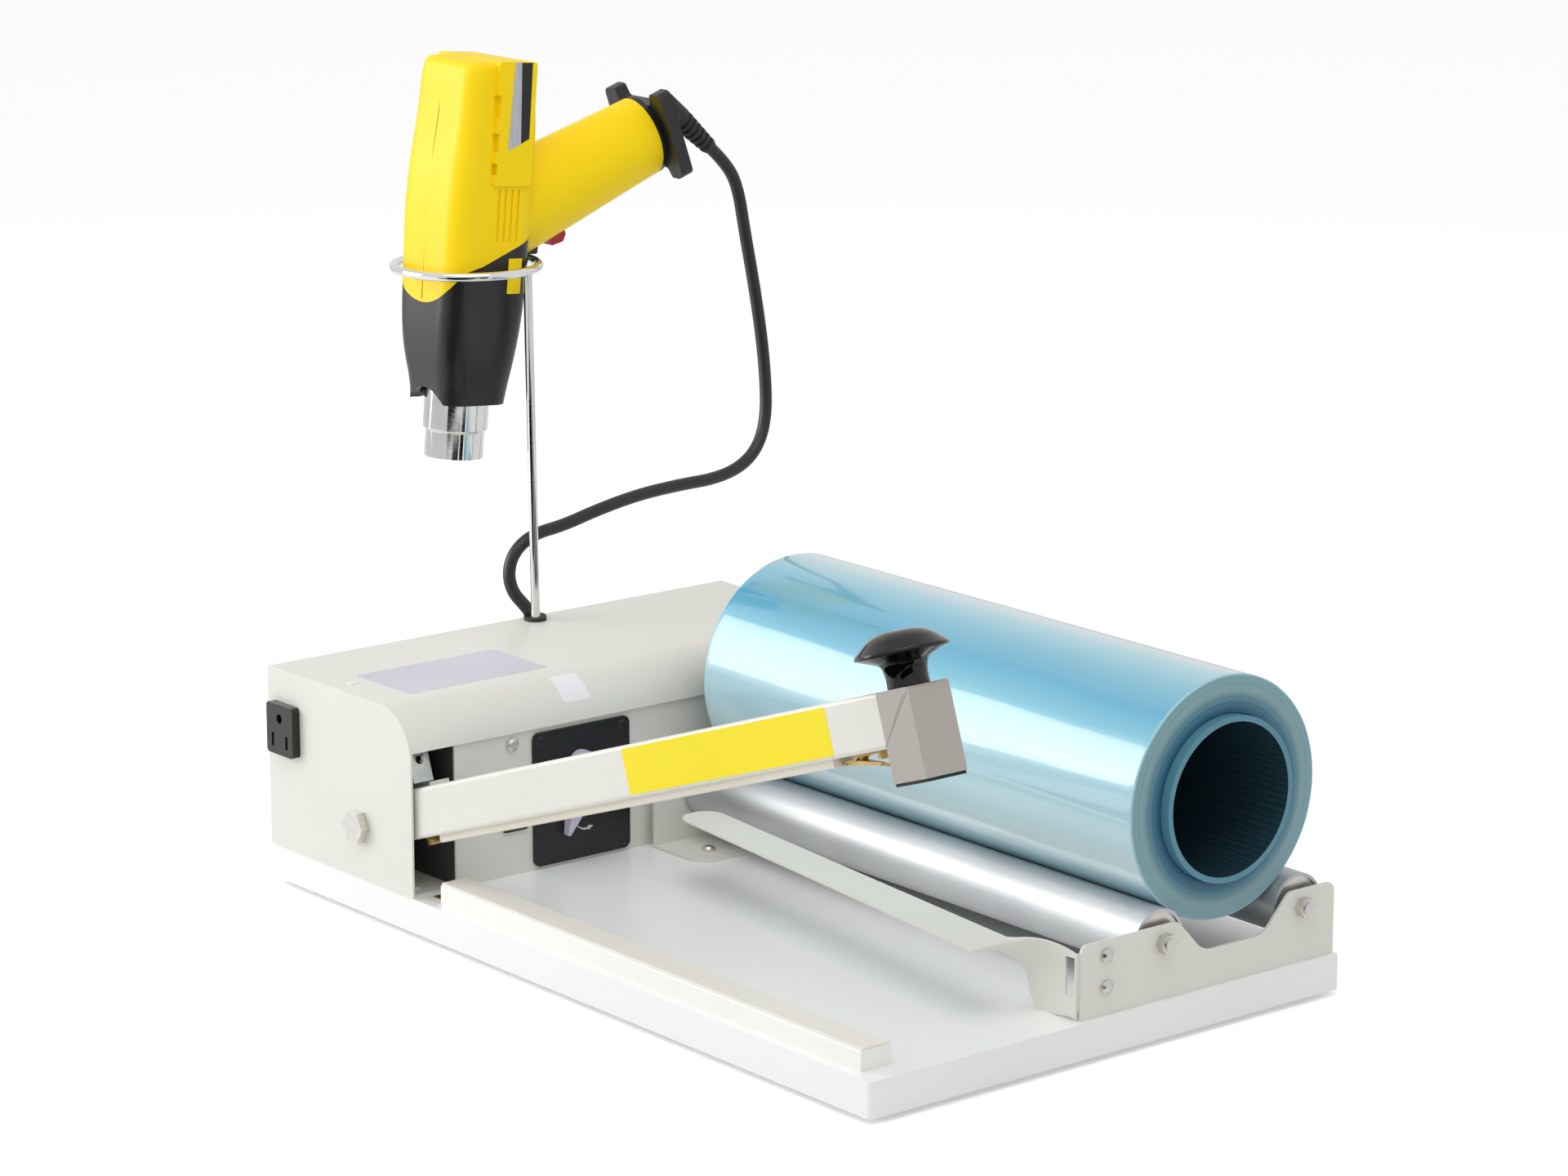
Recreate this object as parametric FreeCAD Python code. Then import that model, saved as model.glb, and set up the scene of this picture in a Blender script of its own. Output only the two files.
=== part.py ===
import FreeCAD
import Part
import math
import os

# Table-top I-bar film sealer with a film cradle and a hot-air gun in a ring holder.
# Frame: origin on the table under the middle of the base board, +X to the operator's
# right, the operator at -Y, the control box along +Y, +Z up. Millimetres and degrees.

V = FreeCAD.Vector
X_AXIS = V(1, 0, 0)
Y_AXIS = V(0, 1, 0)
Z_AXIS = V(0, 0, 1)

# Base board and its feet
BOARD_WIDTH = 300.0
BOARD_DEPTH = 486.0
BOARD_THICKNESS = 18.0
BOARD_CORNER = 2.0
FOOT_RADIUS = 8.0
FOOT_HEIGHT = 3.0
FOOT_INSET = 22.0

# Seal bed: a white bar with a heat-proof pad, at the board's left edge
BED_LENGTH = 330.0
BED_WIDTH = 17.7
BED_HEIGHT = 10.0
BED_BOX_GAP = 15.6
BED_SIDE_INSET = 5.8
PAD_THICKNESS = 1.2
PAD_EDGE = 0.8
BED_CLIP_LENGTH = 12.0
BED_CLIP_HEIGHT = 6.0
BED_CLIP_WIDTH = 10.0
BED_CLIP_THICKNESS = 0.8

# Control box of folded sheet
SHEET = 1.2
BOX_SIDE_REACH = 0.5
BOX_HEIGHT = 97.0
BOX_DEPTH = 130.0
BOX_BACK_OVERHANG = 3.0
HOOD_RADIUS = 26.0
HOOD_BACK_RADIUS = 2.0
HOOD_REAR_DROP = 8.0
REAR_SEAM_GAP = 0.4
REAR_TAB_LAP = 8.0
HOOD_LIP_RISE = 76.0
PANEL_SETBACK = 2.2
PANEL_LAP = 1.4
BAY_CLEARANCE = 1.35
REAR_FLANGE = 18.0
SIDE_FLANGE = 10.0
SIDE_FLANGE_END_GAP = 6.0
HOOD_TAB_WIDTH = 20.0
HOOD_TAB_DROP = 14.0

# Pan-head screws of the box, the board and the cradle
SCREW_HEAD_RADIUS = 3.5
SCREW_HEAD_HEIGHT = 2.4
SCREW_SHANK_RADIUS = 1.9
SCREW_LENGTH = 9.0
PANEL_SCREW_RISE = 69.8
PANEL_SCREW_X = -86.2
SIDE_SCREW_INSET = 40.5
HOOD_SCREW_RISE = 10.0
FLOOR_SCREW_INSET_LEFT = 45.5
FLOOR_SCREW_INSET_RIGHT = 15.5
FLOOR_SCREW_INSET_FRONT = 12.0
FLOOR_SCREW_INSET_BACK = 20.0

# Control plate, timer and power switch on the front panel
PLATE_WIDTH = 62.0
PLATE_HEIGHT = 71.5
PLATE_THICKNESS = 1.5
PLATE_CORNER = 4.0
PLATE_RIGHT_X = -11.5
PLATE_RISE = 1.8
RIVET_RADIUS = 1.6
RIVET_HEAD = 0.7
RIVET_INSET = 4.5
KNOB_X = -48.5
KNOB_RISE = 36.5
KNOB_SKIRT_RADIUS = 9.5
KNOB_SKIRT_DEPTH = 3.0
KNOB_HEAD_RADIUS = 7.9
KNOB_HEAD_REACH = 24.5
KNOB_WAIST = 3.2
KNOB_TIP_REACH = 21.0
KNOB_TIP_WIDTH = 1.8
KNOB_DEPTH = 11.0
KNOB_TIP_DEPTH = 3.2
KNOB_REST = 15.0
KNOB_GAP = 0.4
SHAFT_RADIUS = 3.0
SHAFT_CLEARANCE = 0.08
SWITCH_X = -85.0
SWITCH_RISE = 34.3
SWITCH_BEZEL_WIDTH = 15.0
SWITCH_BEZEL_HEIGHT = 21.0
SWITCH_BEZEL_THICKNESS = 1.5
SWITCH_BODY_INSET = 1.0
SWITCH_BODY_DEPTH = 15.0
SWITCH_WALL = 1.2
ROCKER_GAP = 0.25
ROCKER_REST = 9.0
ROCKER_RISE = 3.4

# Timer circuit board behind the control plate
BOARD_SETBACK = 22.0
CIRCUIT_WIDTH = 58.0
CIRCUIT_HEIGHT = 56.0
CIRCUIT_THICKNESS = 1.6
CIRCUIT_BOTTOM_RISE = 12.0
POT_RADIUS = 12.0
POT_DEPTH = 9.0
RELAY_SIZE = (18.0, 15.0, 19.0)
STANDOFF_RADIUS = 2.6

# Transformer on the box floor
CORE_WIDTH = 62.0
CORE_DEPTH = 34.0
CORE_HEIGHT = 54.0
CORE_LEG = 10.0
CORE_SIDE_ROOM = 75.5
CORE_Y = 185.0
COIL_MARGIN = 9.0
COIL_GAP = 0.2

# Power outlet on the left end plate and the mains gland on the back
OUTLET_WIDTH = 24.0
OUTLET_HEIGHT = 27.0
OUTLET_REACH = 4.8
OUTLET_BODY_DEPTH = 20.0
OUTLET_Y = 228.5
OUTLET_RISE = 66.0
SLOT_SPACING = 12.7
SLOT_HEIGHT = 7.2
SLOT_WIDTH = 2.0
SLOT_DEPTH = 14.0
GROUND_OFFSET = 11.9
GROUND_RADIUS = 2.5
GLAND_X = -100.0
GLAND_RISE = 30.0
GLAND_RADIUS = 8.5
GLAND_BORE = 3.6
GLAND_REACH = 9.0

# Seal arm, drawn closed and then raised about its pivot
ARM_RAISED = 19.0
ARM_HEIGHT = 25.4
ARM_WIDTH = 24.0
ARM_WALL = 1.5
ARM_CORNER = 2.0
ARM_LENGTH = 433.0
ARM_TAIL = 30.0
PIVOT_Y = 163.0
PIVOT_BOLT_RADIUS = 4.75
PIVOT_CLEARANCE = 0.06
PIVOT_BUSH_RADIUS = 7.0
PIVOT_BUSH_GAP = 0.5
PIVOT_HEAD_FLATS = 16.0
PIVOT_HEAD_HEIGHT = 5.0
PIVOT_BOSS_RADIUS = 9.0
PIVOT_BOSS_DEPTH = 7.0
END_BLOCK_DEPTH = 23.0
END_BLOCK_DROP = 16.0
BUMPER_DEPTH = 3.0
BUMPER_SHOW = 1.5
BUMPER_EDGE = 0.5
CARRIER_START = 60.0
CARRIER_SETBACK = 45.0
CARRIER_WIDTH = 16.0
CARRIER_THICKNESS = 4.0
WIRE_RADIUS = 0.5
WIRE_SHOW = 0.3
WIRE_REACH = 11.0
SEAL_GAP = 0.1
CLIP_WIDTH = 8.0
CLIP_THICKNESS = 1.2
FRONT_CLIP_LENGTH = 30.0
REAR_CLIP_LENGTH = 18.0
TINE_LENGTH = 23.0
TINE_DROP = 3.4
TINE_WIDTH = 2.2

# Handle knob on the arm's front end
HANDLE_NECK_RADIUS = 9.4
HANDLE_FLARE_RADIUS = 10.8
HANDLE_CAP_RADIUS = 21.8
HANDLE_NECK_HEIGHT = 11.0
HANDLE_RIM_RISE = 5.0
HANDLE_DOME_RISE = 9.6
HANDLE_SETBACK = 9.7

# Spring that holds the arm up, its bracket on the arm and its stop
BRACKET_START = 42.0
BRACKET_LENGTH = 16.0
BRACKET_WIDTH = 12.0
BRACKET_HEIGHT = 18.0
BRACKET_THICKNESS = 2.0
SPRING_RADIUS = 4.0
SPRING_WIRE = 0.9
SPRING_RINGS = 14
SPRING_ANCHOR_Y = 210.0
SPRING_ANCHOR_RISE = 72.0
SPRING_HOOK_RUN = 9.0
HOOK_HOLE_RADIUS = 2.2

# Travel switch that the arm's tail works
LEVER_HINGE_Y = 212.0
LEVER_HINGE_RISE = 52.0
LEVER_ROLLER_RADIUS = 3.0
LEVER_ROLLER_Y = 190.5
LEVER_THICKNESS = 1.0
LEVER_WIDTH = 6.0
LEVER_GAP = 0.5
LEVER_PIN_RADIUS = 1.5
MICROSWITCH_SIZE = (8.0, 24.0, 11.0)
MICROSWITCH_LIFT = 2.2

# Film cradle: two folded plates, two rollers on through axles
CRADLE_SHEET = 1.5
CRADLE_FRONT_INSET = 3.0
CRADLE_SPAN = 350.0
CRADLE_HEIGHT = 37.0
CRADLE_LEFT_X = -18.6
CRADLE_RIGHT_X = 148.3
REAR_PLATE_LEFT_X = -0.5
SCOOP_HALF_TOP = 37.0
SCOOP_HALF_BOTTOM = 20.0
SCOOP_DEPTH = 18.0
FRONT_FOOT_DEPTH = 28.0
FRONT_FOOT_INSET = 4.0
REAR_FOOT_DEPTH = 41.0
FOOT_CORNER = 12.0
FRONT_SCREW_SETBACK = 20.0
REAR_SCREW_SETBACK = 24.0
CRADLE_SCREW_X = (16.7, 130.0)
ROLLER_SPACING = 92.1
ROLLER_CENTRE_X = 80.4
ROLLER_RISE = 28.2
ROLLER_RADIUS = 15.875
ROLLER_WALL = 1.6
ROLLER_END_GAP = 2.0
BEARING_WIDTH = 8.0
AXLE_RADIUS = 3.175
AXLE_CLEARANCE = 0.05
AXLE_NUT_FLATS = 9.0
AXLE_NUT_HEIGHT = 4.4

# Film roll on its core
FILM_RADIUS = 60.5
FILM_LENGTH = 325.0
FILM_FRONT_GAP = 7.5
FILM_REST_GAP = 0.3
CORE_BORE_RADIUS = 38.1
CORE_WALL = 3.0
CORE_PROUD = 5.3

# Film separator: one sheet that twists from an upright wing to a flat tongue
SEPARATOR_SHEET = 1.0
WING_X = -20.0
WING_LENGTH = 29.5
WING_HEIGHT = 33.0
TONGUE_RISE = 36.0
TONGUE_FRONT_LEFT = (-61.0, -211.0)
TONGUE_FRONT_RIGHT = (-34.5, -205.5)
TONGUE_TIP_LEFT = (-31.0, 53.0)
TONGUE_TIP_RIGHT = (-8.5, 51.0)
TONGUE_TIP_RADIUS = 10.5
SLOT_IN_WING = (1.0, 7.0, 12.0, 31.0)
SEPARATOR_FLANGE = 27.0
SEPARATOR_FLANGE_RISE = (6.0, 33.0)
SEPARATOR_SCREW_X = -2.8
SEPARATOR_SCREW_RISES = (14.1, 29.8)
NUT_FLATS = 7.0
NUT_HEIGHT = 3.0

# Chrome ring holder: one wire rod through the hood, and its grommet
ROD_RADIUS = 2.4
ROD_BASE = (14.3, 231.9)
ROD_TOP = (15.5, 239.0)
RING_RISE = 287.8
RING_CENTRE = (1.55, 275.3)
SOCKET_RADIUS = 6.0
SOCKET_HEIGHT = 20.0
ROD_CLEARANCE = 0.05
GROMMET_WALL = 0.6
GROMMET_SIDE = 0.6
GROMMET_LIP = 2.0
GROMMET_FLANGE = 1.3
GROMMET_UNDER_FLANGE = 0.4

# Hot-air gun, drawn nozzle down about its barrel axis, then tilted and hung
GUN_TILT = 5.0
GUN_X = 0.0
HANDLE_ANGLE = 24.0
HANDLE_ROOT = (-1.6, 17.8)
GUN_HANDLE_LENGTH = 126.0
CAVITY_RADIUS = 20.0
CAVITY_BOTTOM = -80.0
CAVITY_TOP = 60.0
UPPER_CAVITY_RADIUS = 15.0
UPPER_CAVITY_TOP = 104.0
HANDLE_BORE = 14.0
# Barrel sections: height, back face, front face, half width, corner radius
BARREL = (
    (-73.0, -21.5, 21.5, 21.5, 12.0),
    (-50.0, -24.4, 24.4, 24.4, 12.5),
    (-25.0, -26.5, 26.7, 26.6, 12.5),
    (2.0, -26.7, 27.4, 27.1, 12.0),
    (30.0, -27.0, 27.5, 27.5, 12.0),
    (60.0, -24.8, 28.0, 27.1, 11.2),
    (88.0, -21.8, 26.8, 26.3, 10.4),
    (111.0, -18.9, 24.2, 24.7, 9.4),
)
BARREL_TOP_ROUND = 5.0
# Handle sections: distance from the barrel axis, half height, half width
GRIP = ((12.0, 27.4, 21.0), (52.0, 26.0, 20.5), (90.0, 24.2, 19.7), (126.0, 22.6, 19.0))
PART_LINE_CENTRE = -19.0
PART_LINE_EDGE = -3.0
PART_LINE_HALF = 27.0
PART_LINE_SLOPE = 0.3
PART_LINE_BEND = -7.0
PART_LINE_STEEP = 0.47
WINDOW_BACK = 9.5
WINDOW_FRONT = 18.5
WINDOW_WEB = 23.5
WINDOW_LOW = -12.0
WINDOW_HIGH = 7.0
WEB_HIGH = 18.0
PAD_BACK = -4.5
PAD_FRONT = 20.0
PAD_LOW = 46.0
PAD_HIGH = 112.0
PAD_PROUD = 1.6
PAD_CORNER = 2.0
VENT_WIDTH = 3.0
VENT_DEPTH = 1.8
VENTS = ((52.0, 58.0), (64.0, 74.0), (82.0, 94.0))
GROOVE_COUNT = 4
GROOVE_PITCH = 4.2
GROOVE_WIDTH = 1.3
GROOVE_DEPTH = 1.0
GROOVE_SPAN = (16.0, 44.0)
STRAP_HALF_WIDTH = 8.0
STRAP_REACH = 42.5
ARCH_RADIUS = 19.0
ARCH_DROP = 11.0
NOZZLE_RADIUS = 17.5
NOZZLE_WALL = 1.0
NOZZLE_TOP = -56.0
NOZZLE_STEP = -88.0
NOZZLE_MOUTH = -103.5
MOUTH_RADIUS = 15.9
HEATER_RADIUS = 13.5
HEATER_LOW = -84.0
HEATER_HIGH = -30.0
HEATER_HOLES = 6
MOUNT_DISC = 2.5
MOTOR_RADIUS = 13.0
MOTOR_LOW = 2.0
MOTOR_HIGH = 38.0
FAN_RADIUS = 18.0
FAN_LOW = 43.0
FAN_HIGH = 54.0
FAN_BLADES = 7
FAN_SHAFT_RADIUS = 1.5
TRIGGER_START = 47.0
TRIGGER_END = 58.0
TRIGGER_SEAT = 25.5
TRIGGER_HALF_WIDTH = 6.0
TRIGGER_PROUD = 4.5
TRIGGER_GAP = 0.2
TRIGGER_STEM = 7.0
CAP_COLLAR = 3.0
CAP_PLATE = 8.0
CAP_HALF_WIDTH = 25.0
CAP_TOP = 25.5
CAP_BOTTOM = 24.5
HORN_WIDTH = 9.5
TOP_NOTCH = 7.0
BOTTOM_NOTCH = 6.0
CAP_BOSS_RADIUS = 9.5
CAP_BOSS_LENGTH = 13.0
CAP_BOSS_LIFT = 6.0
RELIEF_START = (136.0, 384.6)
RELIEF_END = (168.0, 357.0)
RELIEF_BIG = 6.4
RELIEF_SMALL = 4.6
RELIEF_RIBS = 6

# Cord of the gun, from its strain relief to the grommet on the hood
CORD_RADIUS = 3.5
CORD_POINTS = (
    (168.0, 275.3, 357.0),
    (180.1, 275.3, 346.56),
    (187.9, 275.2, 332.5),
    (192.4, 274.8, 306.9),
    (198.0, 273.8, 277.5),
    (202.0, 272.2, 248.5),
    (203.6, 270.2, 226.0),
    (202.4, 268.0, 203.5),
    (195.5, 265.4, 187.0),
    (181.5, 262.4, 177.0),
    (160.0, 259.2, 172.8),
    (131.0, 256.6, 173.4),
    (101.0, 254.6, 172.4),
    (72.0, 252.6, 168.6),
    (46.0, 251.0, 163.4),
    (24.5, 248.7, 162.2),
    (12.6, 249.8, 154.6),
    (7.5, 249.5, 143.7),
    (8.2, 246.7, 132.5),
    (14.4, 242.0, 123.9),
    (17.7, 239.5, 117.6),
)

# Levels and edges that follow from the sizes above
BOARD_TOP = FOOT_HEIGHT + BOARD_THICKNESS
BOARD_LEFT = -BOARD_WIDTH / 2
BOARD_FRONT = -BOARD_DEPTH / 2
BOARD_BACK = BOARD_DEPTH / 2
BED_TOP = BOARD_TOP + BED_HEIGHT
PAD_TOP = BED_TOP + PAD_THICKNESS
BED_LEFT = BOARD_LEFT + BED_SIDE_INSET
BED_CENTRE_X = BED_LEFT + BED_WIDTH / 2
BOX_LEFT = BOARD_LEFT - BOX_SIDE_REACH
BOX_RIGHT = BOARD_LEFT + BOARD_WIDTH + BOX_SIDE_REACH
CORE_X = BOX_RIGHT - CORE_SIDE_ROOM
BOX_BACK = BOARD_BACK + BOX_BACK_OVERHANG
BOX_FRONT = BOX_BACK - BOX_DEPTH
BED_BACK = BOX_FRONT - BED_BOX_GAP
BED_FRONT = BED_BACK - BED_LENGTH
BOX_TOP = BOARD_TOP + BOX_HEIGHT
FLOOR_TOP = BOARD_TOP + SHEET
PANEL_Y = BOX_FRONT + PANEL_SETBACK
PANEL_BACK = PANEL_Y + SHEET
LIP_Z = BOARD_TOP + HOOD_LIP_RISE
PANEL_TOP = LIP_Z + PANEL_LAP
WIRE_DROP = ARM_HEIGHT / 2 + CARRIER_THICKNESS + WIRE_SHOW
PIVOT_Z = PAD_TOP + SEAL_GAP + WIRE_DROP
CARRIER_END = ARM_LENGTH - CARRIER_SETBACK
ARM_LEFT = BED_CENTRE_X - ARM_WIDTH / 2
ARM_RIGHT = BED_CENTRE_X + ARM_WIDTH / 2
BAY_RIGHT = ARM_RIGHT + BAY_CLEARANCE
PIVOT = V(0, PIVOT_Y, PIVOT_Z)
CRADLE_FRONT = BOARD_FRONT + CRADLE_FRONT_INSET
CRADLE_BACK = CRADLE_FRONT + CRADLE_SPAN
CRADLE_TOP = BOARD_TOP + CRADLE_HEIGHT
ROLLER_Z = BOARD_TOP + ROLLER_RISE
ROLLER_XS = (ROLLER_CENTRE_X - ROLLER_SPACING / 2, ROLLER_CENTRE_X + ROLLER_SPACING / 2)
ROLLER_FRONT = CRADLE_FRONT + CRADLE_SHEET + ROLLER_END_GAP
ROLLER_BACK = CRADLE_BACK - ROLLER_END_GAP
FILM_REACH = FILM_RADIUS + ROLLER_RADIUS + FILM_REST_GAP
FILM_Z = ROLLER_Z + math.sqrt(FILM_REACH ** 2 - (ROLLER_SPACING / 2) ** 2)
FILM_FRONT = CRADLE_FRONT + CRADLE_SHEET + FILM_FRONT_GAP
FILM_BACK = FILM_FRONT + FILM_LENGTH
TONGUE_Z = BOARD_TOP + TONGUE_RISE
RING_Z = BOARD_TOP + RING_RISE
RING_RADIUS = math.dist(ROD_TOP, RING_CENTRE)
GUN_ORIGIN = V(GUN_X, RING_CENTRE[1], RING_Z)


def box(xs, ys, zs):
    """Block between two values on each axis."""
    size = (xs[1] - xs[0], ys[1] - ys[0], zs[1] - zs[0])
    return Part.makeBox(size[0], size[1], size[2], V(xs[0], ys[0], zs[0]))


def round_bar(start, end, radius):
    """Cylinder between two points."""
    start = V(*start)
    run = V(*end) - start
    return Part.makeCylinder(radius, run.Length, start, run)


def pipe(start, end, radius, bore):
    """Hollow cylinder between two points."""
    return round_bar(start, end, radius).cut(round_bar(start, end, bore))


def in_xy(z):
    return lambda a, b: V(a, b, z)


def in_xz(y):
    return lambda a, b: V(a, y, b)


def in_yz(x):
    return lambda a, b: V(x, a, b)


def outline(corners, place):
    """Closed wire through the corners, each (a, b) or (a, b, radius of its round)."""
    count = len(corners)
    stops = []
    for i, corner in enumerate(corners):
        here = V(corner[0], corner[1], 0)
        if len(corner) < 3:
            stops.append((here, here, here))
            continue
        before = V(*corners[i - 1][:2], 0) - here
        after = V(*corners[(i + 1) % count][:2], 0) - here
        before.normalize()
        after.normalize()
        half = before.getAngle(after) / 2
        middle = before + after
        middle.normalize()
        trim = corner[2] / math.tan(half)
        reach = corner[2] / math.sin(half) - corner[2]
        stops.append((here + before * trim, here + middle * reach, here + after * trim))
    edges = []
    for i, (start, middle, end) in enumerate(stops):
        if start.distanceToPoint(end) > 1e-6:
            a, b, c = (place(p.x, p.y) for p in (start, middle, end))
            edges.append(Part.Arc(a, b, c).toShape())
        leave = place(end.x, end.y)
        arrive = stops[(i + 1) % count][0]
        arrive = place(arrive.x, arrive.y)
        if leave.distanceToPoint(arrive) > 1e-6:
            edges.append(Part.LineSegment(leave, arrive).toShape())
    return Part.Wire(edges)


def slab(corners, place, depth):
    """Outline filled and extruded along a vector."""
    return Part.Face(outline(corners, place)).extrude(depth)


def turning(corners, x, y):
    """Profile of (radius, height) corners turned about the vertical line at x, y."""
    face = Part.Face(outline(corners, lambda a, b: V(x + a, y, b)))
    return face.revolve(V(x, y, 0), Z_AXIS, 360)


def hexagon(centre, direction, flats, height):
    """Hexagonal prism from the centre along the direction."""
    centre = V(*centre)
    direction = V(*direction)
    side = direction.cross(Z_AXIS) if abs(direction.z) < 0.9 else V(X_AXIS)
    up = direction.cross(side)
    side.normalize()
    up.normalize()
    radius = flats / 2 / math.cos(math.pi / 6)
    ring = []
    for i in range(7):
        angle = math.pi / 3 * i
        ring.append(centre + side * (radius * math.cos(angle)) + up * (radius * math.sin(angle)))
    return Part.Face(Part.makePolygon(ring)).extrude(direction.normalize() * height)


def pan_screw(seat, direction, length=SCREW_LENGTH):
    """Pan-head screw: the head stands on the seat, the shank runs along the direction."""
    seat = V(*seat)
    direction = V(*direction)
    low = SCREW_HEAD_HEIGHT * 0.55
    head = Part.makeCylinder(SCREW_HEAD_RADIUS, low, seat, -direction)
    face = seat - direction * low
    rise = SCREW_HEAD_HEIGHT - low
    crown = Part.makeCone(SCREW_HEAD_RADIUS, SCREW_HEAD_RADIUS * 0.6, rise, face, -direction)
    shank = Part.makeCylinder(SCREW_SHANK_RADIUS, length, seat, direction)
    return head.fuse([crown, shank]).removeSplitter()


def screw_hole(seat, direction, length=SCREW_LENGTH):
    """The space that a screw's shank takes."""
    return Part.makeCylinder(SCREW_SHANK_RADIUS, length, V(*seat), V(*direction))


def turned(shape, centre, axis, degrees):
    copy = shape.copy()
    copy.rotate(centre, axis, degrees)
    return copy


def raised(shape):
    """From the closed pose to the rest pose of the arm."""
    return turned(shape, PIVOT, X_AXIS, -ARM_RAISED)


def hung(shape):
    """From the gun's own frame to its place in the ring."""
    copy = turned(shape, V(0, 0, 0), Y_AXIS, GUN_TILT)
    copy.translate(GUN_ORIGIN)
    return copy


def on_handle(shape):
    """From the handle's own frame, along +X, to the gun's frame."""
    copy = turned(shape, V(0, 0, 0), Y_AXIS, -HANDLE_ANGLE)
    copy.translate(V(HANDLE_ROOT[0], 0, HANDLE_ROOT[1]))
    return copy


def write(name, *solids):
    """One node: a solid, or a group of separate solids."""
    shape = solids[0] if len(solids) == 1 else Part.makeCompound(list(solids))
    bodies = shape.Solids
    state = "ok" if shape.isValid() and bodies else "BROKEN"
    print(f"{name:24s} {state} solids {len(bodies):2d} volume {shape.Volume:12.1f}")
    shape.exportStep(f"parts/{name}.step")


def box_profile(inset):
    """Side profile of the control box, moved in by an inset all round."""
    front = BOX_FRONT + inset
    top = BOX_TOP - inset
    back = BOX_BACK - inset
    low = BOARD_TOP + inset
    return [
        (back, low),
        (back, top, max(HOOD_BACK_RADIUS - inset, 0.5)),
        (front, top, HOOD_RADIUS - inset),
        (front, low),
    ]


def base_board():
    half = BOARD_WIDTH / 2
    corners = [(sx * half, sy * BOARD_BACK, BOARD_CORNER) for sx, sy in ((-1, -1), (1, -1), (1, 1), (-1, 1))]
    board = slab(corners, in_xy(FOOT_HEIGHT), V(0, 0, BOARD_THICKNESS))
    for seat in board_screw_seats():
        board = board.cut(screw_hole((seat[0], seat[1], BOARD_TOP), (0, 0, -1)))
    return board


def rubber_feet():
    """Four feet near the corners and one under the middle, where the arm's pull would bow the board."""
    x = BOARD_WIDTH / 2 - FOOT_INSET
    y = BOARD_BACK - FOOT_INSET
    places = ((-x, -y), (x, -y), (-x, y), (x, y), (0, 0))
    return [Part.makeCone(FOOT_RADIUS * 0.9, FOOT_RADIUS, FOOT_HEIGHT, V(px, py, 0)) for px, py in places]


def board_screw_seats():
    """Places of the wood screws: the cradle's feet and the box floor."""
    front = CRADLE_FRONT + FRONT_SCREW_SETBACK
    rear = CRADLE_BACK - REAR_SCREW_SETBACK
    seats = [(x, y, BOARD_TOP + CRADLE_SHEET) for y in (front, rear) for x in CRADLE_SCREW_X]
    xs = (BOX_LEFT + FLOOR_SCREW_INSET_LEFT, BOX_RIGHT - FLOOR_SCREW_INSET_RIGHT)
    ys = (PANEL_BACK + FLOOR_SCREW_INSET_FRONT, BOX_BACK - FLOOR_SCREW_INSET_BACK)
    seats += [(x, y, FLOOR_TOP) for x in xs for y in ys]
    return seats


def seal_bed():
    bar = box((BED_LEFT, BED_LEFT + BED_WIDTH), (BED_FRONT, BED_BACK), (BOARD_TOP, BED_TOP))
    top_edges = [e for e in bar.Edges if e.BoundBox.ZMin > BED_TOP - 0.1]
    long_edges = [e for e in top_edges if abs(e.Length - BED_LENGTH) < 0.01]
    bar = bar.makeFillet(0.7, long_edges)
    pad_corners = [
        (BED_LEFT + PAD_EDGE, BED_TOP),
        (BED_LEFT + BED_WIDTH - PAD_EDGE, BED_TOP),
        (BED_LEFT + BED_WIDTH - PAD_EDGE, PAD_TOP, 0.5),
        (BED_LEFT + PAD_EDGE, PAD_TOP, 0.5),
    ]
    pad = slab(pad_corners, in_xz(BED_FRONT), V(0, BED_LENGTH, 0))
    return bar, pad


def bed_rear_clip():
    """Bent brass strip that holds the bed's tape down behind its rear end."""
    t = BED_CLIP_THICKNESS
    corners = [
        (BED_BACK, BOARD_TOP),
        (BED_BACK + BED_CLIP_LENGTH, BOARD_TOP),
        (BED_BACK + BED_CLIP_LENGTH, BOARD_TOP + t),
        (BED_BACK + t, BOARD_TOP + t, 0.6),
        (BED_BACK + t, BOARD_TOP + BED_CLIP_HEIGHT),
        (BED_BACK, BOARD_TOP + BED_CLIP_HEIGHT),
    ]
    left = BED_CENTRE_X - BED_CLIP_WIDTH / 2
    return slab(corners, in_yz(left), V(BED_CLIP_WIDTH, 0, 0))


def box_floor():
    left = BOX_LEFT + SHEET
    right = BOX_RIGHT - SHEET
    back = BOX_BACK - SHEET
    floor = box((left, right), (PANEL_Y, back), (BOARD_TOP, FLOOR_TOP))
    flange = box((BAY_RIGHT + SHEET, right), (back - SHEET, back), (FLOOR_TOP, FLOOR_TOP + REAR_FLANGE))
    x, y = ROD_BASE
    socket = round_bar((x, y, FLOOR_TOP), (x, y, FLOOR_TOP + SOCKET_HEIGHT), SOCKET_RADIUS)
    floor = floor.fuse([flange, socket]).removeSplitter()
    floor = floor.cut(holder_wire(ROD_RADIUS + ROD_CLEARANCE))
    for x, y, z in board_screw_seats():
        if z == FLOOR_TOP:
            floor = floor.cut(screw_hole((x, y, z), (0, 0, -1)))
    for seat in hood_screw_seats():
        floor = floor.cut(screw_hole(seat, (0, -1, 0)))
    return floor


def hood_screw_seats():
    xs = (BOX_LEFT + SIDE_SCREW_INSET, (BOX_LEFT + BOX_RIGHT) / 2, BOX_RIGHT - SIDE_SCREW_INSET)
    return [(x, BOX_BACK, FLOOR_TOP + HOOD_SCREW_RISE) for x in xs]


def panel_screw_seats():
    xs = (PANEL_SCREW_X, BOX_RIGHT - SIDE_SCREW_INSET)
    return [(x, PANEL_Y, BOARD_TOP + PANEL_SCREW_RISE) for x in xs]


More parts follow.
